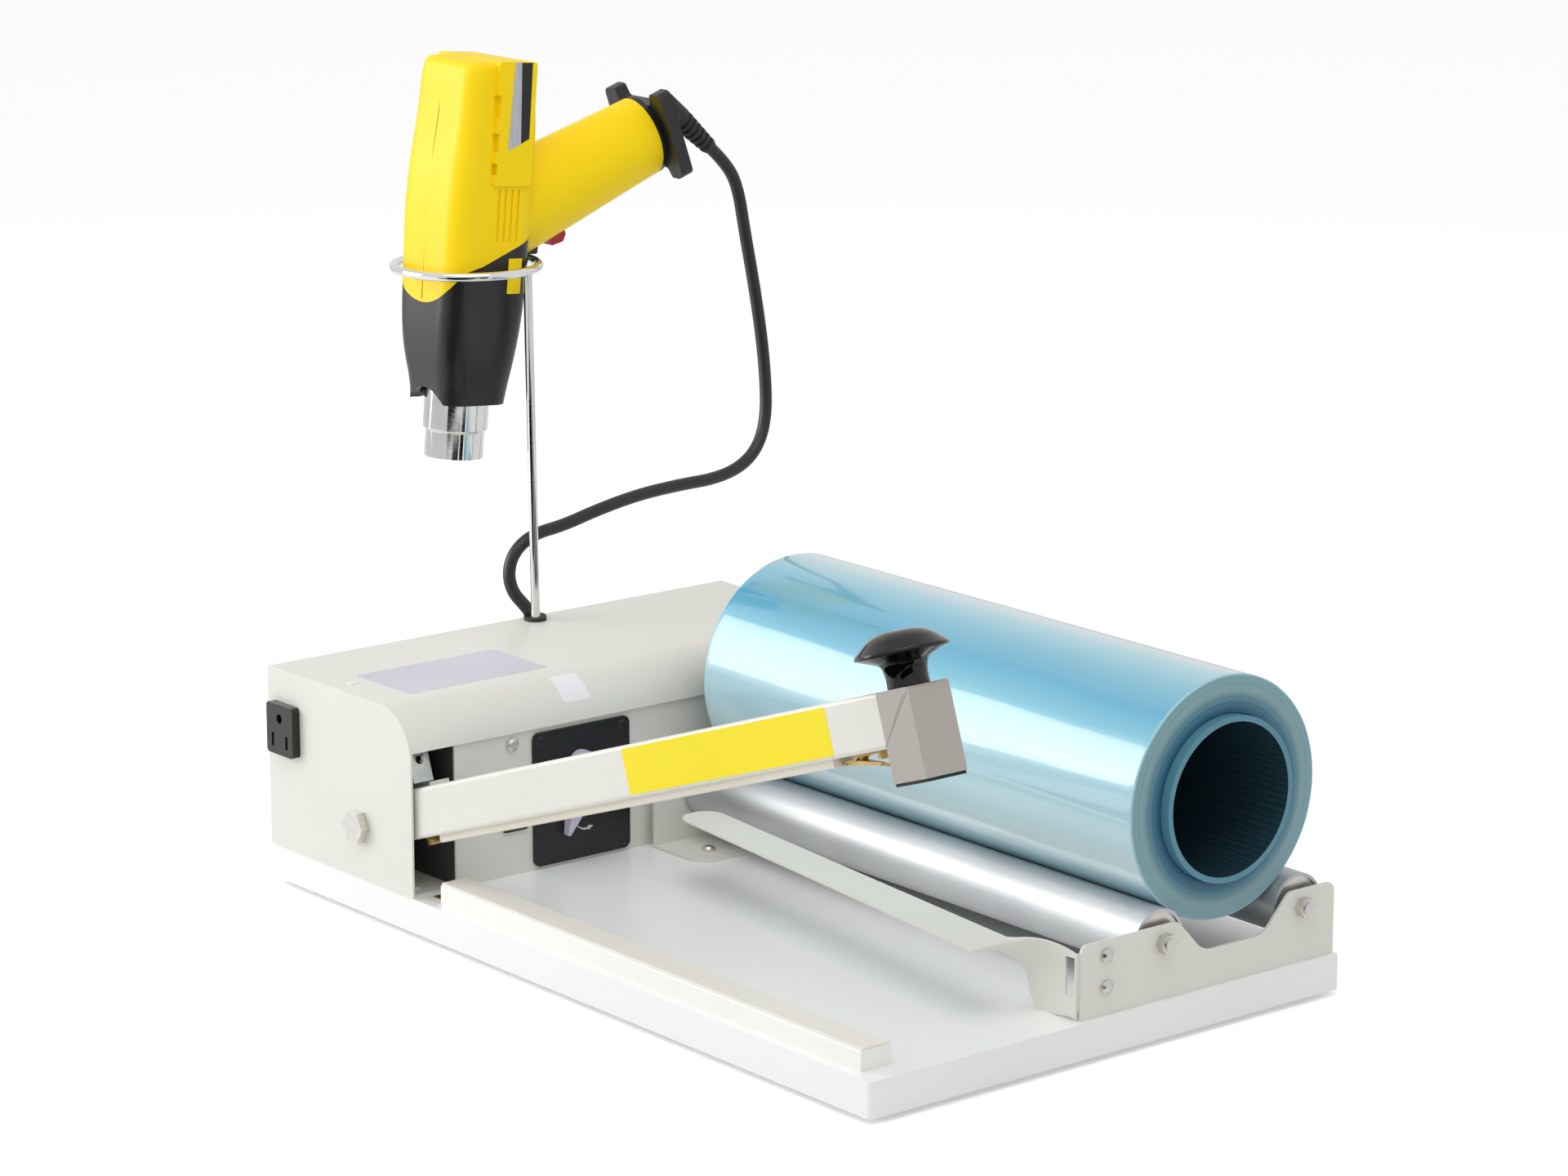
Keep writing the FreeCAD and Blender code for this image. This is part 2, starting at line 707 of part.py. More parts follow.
def end_plate(side):
    """Left (-1) or right (+1) end of the box, with a foot flange on the floor."""
    outer = BOX_LEFT if side < 0 else BOX_RIGHT - SHEET
    plate = slab(box_profile(0), in_yz(outer), V(SHEET, 0, 0))
    start = BOX_LEFT + SHEET if side < 0 else BOX_RIGHT - SHEET - SIDE_FLANGE
    flange = box(
        (start, start + SIDE_FLANGE),
        (PANEL_BACK + SIDE_FLANGE_END_GAP, BOX_BACK - SHEET - SIDE_FLANGE_END_GAP - SHEET),
        (FLOOR_TOP, FLOOR_TOP + SHEET),
    )
    plate = plate.fuse(flange).removeSplitter()
    if side < 0:
        z = BOARD_TOP + OUTLET_RISE
        hole = box(
            (BOX_LEFT - 1, BOX_LEFT + SHEET + 1),
            (OUTLET_Y - OUTLET_WIDTH / 2 + 1.5, OUTLET_Y + OUTLET_WIDTH / 2 - 1.5),
            (z - OUTLET_HEIGHT / 2 + 1.5, z + OUTLET_HEIGHT / 2 - 1.5),
        )
        plate = plate.cut(hole).cut(pivot_shank())
    return plate


def hood_tab_span(x):
    return (x - HOOD_TAB_WIDTH / 2, x + HOOD_TAB_WIDTH / 2)


def box_hood():
    """Curved front, top and turned-down rear edge in one sheet, with two tabs behind the panel."""
    xs = (BOX_LEFT + SHEET, BOX_RIGHT - SHEET)
    run = V(xs[1] - xs[0], 0, 0)
    hood = slab(box_profile(0), in_yz(xs[0]), run).cut(slab(box_profile(SHEET), in_yz(xs[0]), run))
    bend_end = BOX_FRONT + HOOD_RADIUS
    below_lip = box(xs, (BOX_FRONT - 1, bend_end), (BOARD_TOP - 1, LIP_Z))
    below_seam = box(xs, (bend_end, BOX_BACK + 1), (BOARD_TOP - 1, BOX_TOP - HOOD_REAR_DROP))
    hood = hood.cut(below_lip).cut(below_seam)
    reach = HOOD_RADIUS - SHEET
    across = bend_end - PANEL_BACK - SHEET
    tab_top = BOX_TOP - HOOD_RADIUS + math.sqrt(reach ** 2 - across ** 2)
    tabs = []
    for x, y, z in panel_screw_seats():
        ys = (PANEL_BACK, PANEL_BACK + SHEET)
        tabs.append(box(hood_tab_span(x), ys, (LIP_Z - HOOD_TAB_DROP, tab_top)))
    hood = hood.fuse(tabs).removeSplitter()
    for seat in panel_screw_seats():
        hood = hood.cut(screw_hole(seat, (0, 1, 0)))
    return hood.cut(grommet_neck())


def rear_panel():
    """Flat back of the box, with two tabs that stand up inside the hood's rear edge."""
    seam = BOX_TOP - HOOD_REAR_DROP
    xs = (BOX_LEFT + SHEET, BOX_RIGHT - SHEET)
    panel = box(xs, (BOX_BACK - SHEET, BOX_BACK), (BOARD_TOP, seam - REAR_SEAM_GAP))
    tabs = []
    for x, y, z in panel_screw_seats():
        ys = (BOX_BACK - 2 * SHEET, BOX_BACK - SHEET)
        tabs.append(box(hood_tab_span(x), ys, (seam - REAR_TAB_LAP, BOX_TOP - SHEET - 1)))
    panel = panel.fuse(tabs).removeSplitter()
    for seat in hood_screw_seats():
        panel = panel.cut(screw_hole(seat, (0, -1, 0)))
    gland = (GLAND_X, BOX_BACK, FLOOR_TOP + GLAND_RISE)
    return panel.cut(round_bar(gland, (gland[0], gland[1] - 4, gland[2]), GLAND_RADIUS - 1.5))


def front_panel():
    panel = box((BAY_RIGHT, BOX_RIGHT - SHEET), (PANEL_Y, PANEL_BACK), (FLOOR_TOP, PANEL_TOP))
    knob = (KNOB_X, PANEL_Y - 1, BOARD_TOP + KNOB_RISE)
    panel = panel.cut(round_bar(knob, (knob[0], PANEL_BACK + 1, knob[2]), SHAFT_RADIUS + 0.5))
    panel = panel.cut(switch_cutout())
    for seat in panel_screw_seats():
        panel = panel.cut(screw_hole(seat, (0, 1, 0)))
    for x, z in rivet_places():
        panel = panel.cut(round_bar((x, PANEL_Y, z), (x, PANEL_BACK, z), RIVET_RADIUS))
    return panel


def arm_bay_wall():
    """Wall between the arm's bay and the electrical bay, with the bolt's boss and spring tab."""
    inner = box_profile(SHEET + 0.3)
    wall = slab(inner, in_yz(BAY_RIGHT), V(SHEET, 0, 0))
    wall = wall.cut(box((BAY_RIGHT - 1, BAY_RIGHT + 3), (BOX_FRONT - 1, PANEL_BACK), (0, BOX_TOP)))
    wall = wall.cut(box((BAY_RIGHT - 1, BAY_RIGHT + 3), (BOX_FRONT - 1, BOX_BACK), (0, FLOOR_TOP)))
    face = BAY_RIGHT + SHEET
    foot = box((BAY_RIGHT, face), (PANEL_BACK, BOX_BACK - 2 * SHEET), (FLOOR_TOP, FLOOR_TOP + 2))
    wall = wall.fuse(foot)
    boss_end = face + PIVOT_BOSS_DEPTH
    boss = round_bar((face, PIVOT_Y, PIVOT_Z), (boss_end, PIVOT_Y, PIVOT_Z), PIVOT_BOSS_RADIUS)
    z = BOARD_TOP + SPRING_ANCHOR_RISE
    tab = box((BED_CENTRE_X - 6, BAY_RIGHT), (SPRING_ANCHOR_Y, SPRING_ANCHOR_Y + 2), (z - 6, z + 6))
    wall = wall.fuse([boss, tab]).removeSplitter()
    anchor = (BED_CENTRE_X, SPRING_ANCHOR_Y, z)
    wall = wall.cut(round_bar((anchor[0], anchor[1] - 1, z), (anchor[0], anchor[1] + 3, z), HOOK_HOLE_RADIUS))
    pin = (BAY_RIGHT - 1, LEVER_HINGE_Y, BOARD_TOP + LEVER_HINGE_RISE)
    wall = wall.cut(round_bar(pin, (BAY_RIGHT + 3, pin[1], pin[2]), LEVER_PIN_RADIUS))
    return wall.cut(pivot_shank())


def control_plate():
    left = PLATE_RIGHT_X - PLATE_WIDTH
    low = BOARD_TOP + PLATE_RISE
    r = PLATE_CORNER
    corners = [
        (left, low, r),
        (PLATE_RIGHT_X, low, r),
        (PLATE_RIGHT_X, low + PLATE_HEIGHT, r),
        (left, low + PLATE_HEIGHT, r),
    ]
    plate = slab(corners, in_xz(PANEL_Y - PLATE_THICKNESS), V(0, PLATE_THICKNESS, 0))
    knob = (KNOB_X, PANEL_Y - 5, BOARD_TOP + KNOB_RISE)
    plate = plate.cut(round_bar(knob, (knob[0], PANEL_Y + 1, knob[2]), SHAFT_RADIUS + 0.5))
    for x, z in rivet_places():
        plate = plate.cut(round_bar((x, PANEL_Y - 5, z), (x, PANEL_Y, z), RIVET_RADIUS))
    return plate


def rivet_places():
    left = PLATE_RIGHT_X - PLATE_WIDTH + RIVET_INSET
    low = BOARD_TOP + PLATE_RISE + RIVET_INSET
    right = PLATE_RIGHT_X - RIVET_INSET
    high = BOARD_TOP + PLATE_RISE + PLATE_HEIGHT - RIVET_INSET
    return [(left, low), (right, low), (right, high), (left, high)]


def plate_rivets():
    rivets = []
    face = PANEL_Y - PLATE_THICKNESS
    for x, z in rivet_places():
        shank = round_bar((x, face, z), (x, PANEL_BACK, z), RIVET_RADIUS)
        head = Part.makeCone(RIVET_RADIUS * 1.7, RIVET_RADIUS, RIVET_HEAD, V(x, face, z), V(0, -1, 0))
        rivets.append(shank.fuse(head).removeSplitter())
    return rivets


def timer_knob():
    """Bar knob with a round head and a pointer that slopes down, its skirt and its shaft."""
    z = BOARD_TOP + KNOB_RISE
    face = PANEL_Y - PLATE_THICKNESS - KNOB_GAP
    tip = KNOB_TIP_WIDTH / 2
    half = [
        (KNOB_HEAD_RADIUS, KNOB_HEAD_REACH, KNOB_HEAD_RADIUS - 1.5),
        (KNOB_WAIST, -KNOB_TIP_REACH / 2, 8.0),
        (tip, -KNOB_TIP_REACH, tip - 0.4),
    ]
    outline = half + [(-x, reach, r) for x, reach, r in reversed(half)]
    outline = [(KNOB_X + x, z + reach, r) for x, reach, r in outline]
    bar = slab(outline, in_xz(face), V(0, -KNOB_DEPTH, 0))
    front = face - KNOB_DEPTH
    slope = [
        (front, z + KNOB_HEAD_REACH / 4),
        (front - 1, z + KNOB_HEAD_REACH / 4),
        (front - 1, z - KNOB_TIP_REACH - 1),
        (face - KNOB_TIP_DEPTH, z - KNOB_TIP_REACH - 1),
    ]
    bar = bar.cut(slab(slope, in_yz(KNOB_X - 20), V(40, 0, 0)))
    skirt = round_bar((KNOB_X, face - KNOB_SKIRT_DEPTH, z), (KNOB_X, face, z), KNOB_SKIRT_RADIUS)
    shaft = round_bar((KNOB_X, face, z), (KNOB_X, PANEL_Y + BOARD_SETBACK - 1, z), SHAFT_RADIUS)
    knob = bar.fuse([skirt, shaft]).removeSplitter()
    return turned(knob, V(KNOB_X, face, z), Y_AXIS, KNOB_REST)


def switch_cutout():
    half_w = SWITCH_BEZEL_WIDTH / 2 - SWITCH_BODY_INSET
    half_h = SWITCH_BEZEL_HEIGHT / 2 - SWITCH_BODY_INSET
    z = BOARD_TOP + SWITCH_RISE
    return box((SWITCH_X - half_w, SWITCH_X + half_w), (PANEL_Y - 1, PANEL_Y + 3), (z - half_h, z + half_h))


def switch_body():
    """Snap-in rocker switch housing: bezel, body and the well that the rocker tips in."""
    z = BOARD_TOP + SWITCH_RISE
    half_w = SWITCH_BEZEL_WIDTH / 2
    half_h = SWITCH_BEZEL_HEIGHT / 2
    front = PANEL_Y - SWITCH_BEZEL_THICKNESS
    bezel_corners = [
        (SWITCH_X - half_w, z - half_h, 1.2),
        (SWITCH_X + half_w, z - half_h, 1.2),
        (SWITCH_X + half_w, z + half_h, 1.2),
        (SWITCH_X - half_w, z + half_h, 1.2),
    ]
    bezel = slab(bezel_corners, in_xz(front), V(0, SWITCH_BEZEL_THICKNESS, 0))
    inner_w = half_w - SWITCH_BODY_INSET
    inner_h = half_h - SWITCH_BODY_INSET
    body = box(
        (SWITCH_X - inner_w, SWITCH_X + inner_w),
        (PANEL_Y, PANEL_Y + SWITCH_BODY_DEPTH),
        (z - inner_h, z + inner_h),
    )
    well = box(
        (SWITCH_X - inner_w + SWITCH_WALL, SWITCH_X + inner_w - SWITCH_WALL),
        (front - 1, PANEL_Y + SWITCH_BODY_DEPTH - 4),
        (z - inner_h + SWITCH_WALL, z + inner_h - SWITCH_WALL),
    )
    return bezel.fuse(body).removeSplitter().cut(well)


def rocker_radius():
    return SWITCH_BEZEL_HEIGHT / 2 - SWITCH_BODY_INSET - SWITCH_WALL - ROCKER_GAP


def switch_rocker():
    """Rocker: round ends about its axis and a shallow valley on its face."""
    radius = rocker_radius()
    z = BOARD_TOP + SWITCH_RISE
    half = SWITCH_BEZEL_WIDTH / 2 - SWITCH_BODY_INSET - SWITCH_WALL - ROCKER_GAP
    axis_y = PANEL_Y + 3.0
    disc = round_bar((SWITCH_X - half, axis_y, z), (SWITCH_X + half, axis_y, z), radius)
    tip = ROCKER_RISE + 2.6
    face = [
        (axis_y - tip, z - radius),
        (axis_y - ROCKER_RISE, z, 6.0),
        (axis_y - tip, z + radius),
        (axis_y + 4, z + radius),
        (axis_y + 4, z - radius),
    ]
    rocker = disc.common(slab(face, in_yz(SWITCH_X - half), V(2 * half, 0, 0)))
    return turned(rocker, V(SWITCH_X, axis_y, z), X_AXIS, ROCKER_REST)


def timer_board():
    """Circuit board on four standoffs, with the timer's pot, a relay and a capacitor."""
    left = PLATE_RIGHT_X - PLATE_WIDTH / 2 - CIRCUIT_WIDTH / 2
    low = BOARD_TOP + CIRCUIT_BOTTOM_RISE
    face = PANEL_Y + BOARD_SETBACK
    circuit = box((left, left + CIRCUIT_WIDTH), (face, face + CIRCUIT_THICKNESS), (low, low + CIRCUIT_HEIGHT))
    z = BOARD_TOP + KNOB_RISE
    pot = round_bar((KNOB_X, face - POT_DEPTH, z), (KNOB_X, face, z), POT_RADIUS)
    bore = SHAFT_RADIUS + SHAFT_CLEARANCE
    pot = pot.cut(round_bar((KNOB_X, face - POT_DEPTH - 1, z), (KNOB_X, face, z), bore))
    back = face + CIRCUIT_THICKNESS
    relay_x = left + 6
    wide, deep, high = RELAY_SIZE
    relay = box((relay_x, relay_x + wide), (back, back + deep), (low + 8, low + 8 + high))
    capacitor = round_bar((relay_x + 36, back, low + 16), (relay_x + 36, back + 20, low + 16), 6)
    solids = [circuit, pot, relay, capacitor]
    for x in (left + 4, left + CIRCUIT_WIDTH - 4):
        for z in (low + 4, low + CIRCUIT_HEIGHT - 4):
            solids.append(round_bar((x, PANEL_BACK, z), (x, face, z), STANDOFF_RADIUS))
    return solids


def transformer():
    """Laminated core with two windows, and the winding round its middle leg."""
    left = CORE_X - CORE_WIDTH / 2
    front = CORE_Y - CORE_DEPTH / 2
    core = box((left, left + CORE_WIDTH), (front, front + CORE_DEPTH), (FLOOR_TOP, FLOOR_TOP + CORE_HEIGHT))
    window = (CORE_WIDTH - 4 * CORE_LEG) / 2
    zs = (FLOOR_TOP + CORE_LEG, FLOOR_TOP + CORE_HEIGHT - CORE_LEG)
    for x in (left + CORE_LEG, CORE_X + CORE_LEG):
        core = core.cut(box((x, x + window), (front - 1, front + CORE_DEPTH + 1), zs))
    ys = (front - COIL_MARGIN, front + CORE_DEPTH + COIL_MARGIN)
    coil_zs = (zs[0] + COIL_GAP, zs[1] - COIL_GAP)
    reach = CORE_LEG + window - COIL_GAP
    r = 4.0
    corners = [(CORE_X + sx * reach, y, r) for sx, y in ((-1, ys[0]), (1, ys[0]), (1, ys[1]), (-1, ys[1]))]
    coil = slab(corners, in_xy(coil_zs[0]), V(0, 0, coil_zs[1] - coil_zs[0]))
    leg = box((CORE_X - CORE_LEG, CORE_X + CORE_LEG), (front, front + CORE_DEPTH), (FLOOR_TOP, BOX_TOP))
    return core, coil.cut(leg)


def power_outlet():
    """Three-slot socket, standing proud of the left end plate."""
    z = BOARD_TOP + OUTLET_RISE
    half_w = OUTLET_WIDTH / 2
    half_h = OUTLET_HEIGHT / 2
    front = BOX_LEFT - OUTLET_REACH
    corners = [
        (OUTLET_Y - half_w, z - half_h, 2.0),
        (OUTLET_Y + half_w, z - half_h, 2.0),
        (OUTLET_Y + half_w, z + half_h, 2.0),
        (OUTLET_Y - half_w, z + half_h, 2.0),
    ]
    face = slab(corners, in_yz(front), V(OUTLET_REACH, 0, 0))
    body = box(
        (BOX_LEFT, BOX_LEFT + OUTLET_BODY_DEPTH),
        (OUTLET_Y - half_w + 1.5, OUTLET_Y + half_w - 1.5),
        (z - half_h + 1.5, z + half_h - 1.5),
    )
    outlet = face.fuse(body).removeSplitter()
    blade_z = z - GROUND_OFFSET / 2
    xs = (front - 1, front + SLOT_DEPTH)
    for side in (-1, 1):
        y = OUTLET_Y + side * SLOT_SPACING / 2
        zs = (blade_z - SLOT_HEIGHT / 2, blade_z + SLOT_HEIGHT / 2)
        outlet = outlet.cut(box(xs, (y - SLOT_WIDTH / 2, y + SLOT_WIDTH / 2), zs))
    ground_z = blade_z + GROUND_OFFSET
    return outlet.cut(round_bar((xs[0], OUTLET_Y, ground_z), (xs[1], OUTLET_Y, ground_z), GROUND_RADIUS))


def mains_gland():
    """Cord inlet on the back, drawn without its cord."""
    z = FLOOR_TOP + GLAND_RISE
    back = BOX_BACK
    flange = round_bar((GLAND_X, back, z), (GLAND_X, back + 2.5, z), GLAND_RADIUS)
    neck = Part.makeCone(GLAND_RADIUS * 0.8, GLAND_BORE + 1.4, GLAND_REACH, V(GLAND_X, back + 2.5, z), Y_AXIS)
    inner = round_bar((GLAND_X, back - 4, z), (GLAND_X, back, z), GLAND_RADIUS - 1.5)
    gland = flange.fuse([neck, inner]).removeSplitter()
    return gland.cut(round_bar((GLAND_X, back - 5, z), (GLAND_X, back + 20, z), GLAND_BORE))


def pivot_shank():
    start = (BOX_LEFT - 1, PIVOT_Y, PIVOT_Z)
    return round_bar(start, (BAY_RIGHT + SHEET + PIVOT_BOSS_DEPTH + 1, PIVOT_Y, PIVOT_Z), PIVOT_BOLT_RADIUS)


def pivot_bolt():
    seat = (BOX_LEFT, PIVOT_Y, PIVOT_Z)
    head = hexagon(seat, (-1, 0, 0), PIVOT_HEAD_FLATS, PIVOT_HEAD_HEIGHT)
    trim = Part.makeCone(
        PIVOT_HEAD_FLATS * 0.85, PIVOT_HEAD_FLATS / 2 - 1, 10, V(BOX_LEFT, PIVOT_Y, PIVOT_Z), V(-1, 0, 0)
    )
    head = head.common(trim)
    end = (BAY_RIGHT + SHEET + PIVOT_BOSS_DEPTH, PIVOT_Y, PIVOT_Z)
    return head.fuse(round_bar(seat, end, PIVOT_BOLT_RADIUS)).removeSplitter()


def arm_section(inset):
    half = ARM_HEIGHT / 2 - inset
    left = ARM_LEFT + inset
    right = ARM_RIGHT - inset
    r = max(ARM_CORNER - inset, 0.4)
    return [
        (left, PIVOT_Z - half, r),
        (right, PIVOT_Z - half, r),
        (right, PIVOT_Z + half, r),
        (left, PIVOT_Z + half, r),
    ]


def seal_arm():
    """Square tube with its pivot bush welded across the rear end."""
    back = PIVOT_Y + ARM_TAIL
    run = V(0, -(ARM_LENGTH + ARM_TAIL), 0)
    tube = slab(arm_section(0), in_xz(back), run).cut(slab(arm_section(ARM_WALL), in_xz(back), run))
    left = ARM_LEFT - PIVOT_BUSH_GAP
    right = ARM_RIGHT + PIVOT_BUSH_GAP
    bush = round_bar((left, PIVOT_Y, PIVOT_Z), (right, PIVOT_Y, PIVOT_Z), PIVOT_BUSH_RADIUS)
    tube = tube.fuse(bush).removeSplitter()
    bore = PIVOT_BOLT_RADIUS + PIVOT_CLEARANCE
    return tube.cut(round_bar((left - 1, PIVOT_Y, PIVOT_Z), (right + 1, PIVOT_Y, PIVOT_Z), bore))


def arm_end_block():
    """Folded-down front end: four walls and a top, open below for the bumper."""
    back = PIVOT_Y - ARM_LENGTH
    front = back - END_BLOCK_DEPTH
    top = PIVOT_Z + ARM_HEIGHT / 2
    low = PIVOT_Z - ARM_HEIGHT / 2 - END_BLOCK_DROP
    r = ARM_CORNER
    corners = [(back, low), (back, top), (front, top, r), (front, low)]
    block = slab(corners, in_yz(ARM_LEFT), V(ARM_WIDTH, 0, 0))
    w = ARM_WALL
    hollow = box((ARM_LEFT + w, ARM_RIGHT - w), (front + w, back - w), (low - 1, top - w))
    block = block.cut(hollow)
    rib_low = low + BUMPER_DEPTH
    rib = box((ARM_LEFT + w, ARM_RIGHT - w), (front + w, back - w), (rib_low, rib_low + w))
    return block.fuse(rib).removeSplitter()


def arm_bumper():
    """Rubber strip that closes the end block's open bottom and lands on nothing harder."""
    back = PIVOT_Y - ARM_LENGTH
    front = back - END_BLOCK_DEPTH
    low = PIVOT_Z - ARM_HEIGHT / 2 - END_BLOCK_DROP
    w = ARM_WALL
    e = BUMPER_EDGE
    plug = box((ARM_LEFT + w, ARM_RIGHT - w), (front + w, back - w), (low, low + BUMPER_DEPTH))
    strip = box((ARM_LEFT + e, ARM_RIGHT - e), (front + e, back - e), (low - BUMPER_SHOW, low))
    return plug.fuse(strip).removeSplitter()


def handle_knob():
    """Mushroom knob turned about the end block's middle."""
    y = PIVOT_Y - ARM_LENGTH - HANDLE_SETBACK
    foot = PIVOT_Z + ARM_HEIGHT / 2
    shoulder = foot + HANDLE_NECK_HEIGHT
    rim = shoulder + HANDLE_RIM_RISE
    top = rim + HANDLE_DOME_RISE
    corners = [
        (0, foot),
        (HANDLE_NECK_RADIUS + 0.4, foot, 0.5),
        (HANDLE_NECK_RADIUS, foot + HANDLE_NECK_HEIGHT / 2, 20.0),
        (HANDLE_FLARE_RADIUS, shoulder, 4.0),
        (HANDLE_CAP_RADIUS, rim - 0.8, 0.6),
        (HANDLE_CAP_RADIUS - 0.3, rim + 0.8, 0.8),
        (HANDLE_CAP_RADIUS * 0.55, top - 0.6, 18.0),
        (0, top),
    ]
    return turning(corners, BED_CENTRE_X, y)


def seal_wire_solid():
    z = PIVOT_Z - WIRE_DROP + WIRE_RADIUS
    start = (BED_CENTRE_X, PIVOT_Y - CARRIER_START + WIRE_REACH, z)
    return round_bar(start, (BED_CENTRE_X, PIVOT_Y - CARRIER_END - WIRE_REACH, z), WIRE_RADIUS)


def element_carrier():
    """Insulating bar under the arm that carries the seal wire in a groove."""
    half = CARRIER_WIDTH / 2
    top = PIVOT_Z - ARM_HEIGHT / 2
    low = top - CARRIER_THICKNESS
    corners = [
        (BED_CENTRE_X - half, low, 1.2),
        (BED_CENTRE_X + half, low, 1.2),
        (BED_CENTRE_X + half, top),
        (BED_CENTRE_X - half, top),
    ]
    start = PIVOT_Y - CARRIER_START
    bar = slab(corners, in_xz(start), V(0, CARRIER_START - CARRIER_END, 0))
    return bar.cut(seal_wire_solid())


def clip_tines(y, z):
    """Two brass tines that lead down and forward from the front clip."""
    t = CLIP_THICKNESS
    tines = []
    for side in (-1, 1):
        left = BED_CENTRE_X + side * (CLIP_WIDTH - TINE_WIDTH) / 2 - TINE_WIDTH / 2
        fall = TINE_DROP + side * 1.0
        corners = [(y, z), (y - TINE_LENGTH, z - fall), (y - TINE_LENGTH, z - fall + t), (y, z + 2 * t)]
        tines.append(slab(corners, in_yz(left), V(TINE_WIDTH, 0, 0)))
    return tines


def wire_clips():
    """Bent brass clips under the arm that grip the wire's two ends."""
    top = PIVOT_Z - ARM_HEIGHT / 2
    t = CLIP_THICKNESS
    left = BED_CENTRE_X - CLIP_WIDTH / 2
    clips = []
    grip = WIRE_DROP - ARM_HEIGHT / 2 - WIRE_RADIUS
    for start, length, side in ((CARRIER_END, FRONT_CLIP_LENGTH, -1), (CARRIER_START, REAR_CLIP_LENGTH, 1)):
        y = PIVOT_Y - start
        far = y + side * length
        near = y + side * 1.0
        corners = [
            (near, top - grip + t / 2),
            (y + side * (WIRE_REACH - 1), top - grip + t / 2, 1.0),
            (y + side * (WIRE_REACH + 3), top - t, 1.0),
            (far - side * 2, top - t),
            (far - side * 2, top - t - 3, 0.3),
            (far, top - t - 3, 0.3),
            (far, top),
            (y + side * (WIRE_REACH + 2), top, 1.0),
            (y + side * (WIRE_REACH - 1.5), top - grip + t * 1.5, 1.0),
            (near, top - grip + t * 1.5),
        ]
        clip = slab(corners, in_yz(left), V(CLIP_WIDTH, 0, 0))
        xs = (BED_CENTRE_X - 1.5, BED_CENTRE_X + 1.5)
        ys = sorted((near, y + side * (WIRE_REACH - 3)))
        wrap = box(xs, ys, (top - grip - 0.2, top - grip + t))
        solids = [wrap]
        if side < 0:
            solids += clip_tines(y - 6.0, top - grip - 0.4)
        clips.append(clip.fuse(solids).removeSplitter().cut(seal_wire_solid()))
    return clips


def bracket_hole():
    """Where the spring hooks into the arm's bracket, in the closed pose."""
    y = PIVOT_Y - BRACKET_START - BRACKET_THICKNESS / 2
    return V(BED_CENTRE_X, y, PIVOT_Z + ARM_HEIGHT / 2 + BRACKET_HEIGHT - 4)


def spring_bracket():
    foot = PIVOT_Z + ARM_HEIGHT / 2
    back = PIVOT_Y - BRACKET_START
    t = BRACKET_THICKNESS
    corners = [
        (back, foot),
        (back, foot + BRACKET_HEIGHT),
        (back - t, foot + BRACKET_HEIGHT),
        (back - t, foot + t, 1.0),
        (back - BRACKET_LENGTH, foot + t),
        (back - BRACKET_LENGTH, foot),
    ]
    left = BED_CENTRE_X - BRACKET_WIDTH / 2
    bracket = slab(corners, in_yz(left), V(BRACKET_WIDTH, 0, 0))
    hole = bracket_hole()
    return bracket.cut(round_bar(hole - V(0, 3, 0), hole + V(0, 3, 0), HOOK_HOLE_RADIUS))


def return_spring():
    """Close-wound spring drawn as a ribbed sleeve with a hook at each end."""
    start = turned(Part.Vertex(bracket_hole()), PIVOT, X_AXIS, -ARM_RAISED).Point
    end = V(BED_CENTRE_X, SPRING_ANCHOR_Y + 1, BOARD_TOP + SPRING_ANCHOR_RISE)
    run = end - start
    length = run.Length - 2 * SPRING_HOOK_RUN
    pitch = length / SPRING_RINGS
    corners = [(SPRING_RADIUS - 2 * SPRING_WIRE, 0)]
    for i in range(SPRING_RINGS):
        corners.append((SPRING_RADIUS - SPRING_WIRE, i * pitch))
        corners.append((SPRING_RADIUS, (i + 0.5) * pitch))
    corners.append((SPRING_RADIUS - SPRING_WIRE, length))
    corners.append((SPRING_RADIUS - 2 * SPRING_WIRE, length))
    body = turning(corners, 0, 0)
    hooks = []
    bar = SPRING_RADIUS - SPRING_WIRE
    for z, side in ((0, -1), (length, 1)):
        crossbar = round_bar((-bar, 0, z), (bar, 0, z), SPRING_WIRE)
        stem = round_bar((0, 0, z), (0, 0, z + side * (SPRING_HOOK_RUN + 1)), SPRING_WIRE)
        hooks += [crossbar, stem]
    spring = body.fuse(hooks).removeSplitter()
    foot = start + run.normalize() * SPRING_HOOK_RUN
    spring.Placement = FreeCAD.Placement(foot, FreeCAD.Rotation(Z_AXIS, end - start))
    return spring


def lever_roller_z():
    """Height of the lever's roller so that it rides on the raised arm's tail."""
    slope = math.radians(ARM_RAISED)
    behind = LEVER_ROLLER_Y - PIVOT_Y
    top = PIVOT_Z + (ARM_HEIGHT / 2) / math.cos(slope) - behind * math.tan(slope)
    return top + (LEVER_ROLLER_RADIUS + LEVER_GAP) / math.cos(slope)


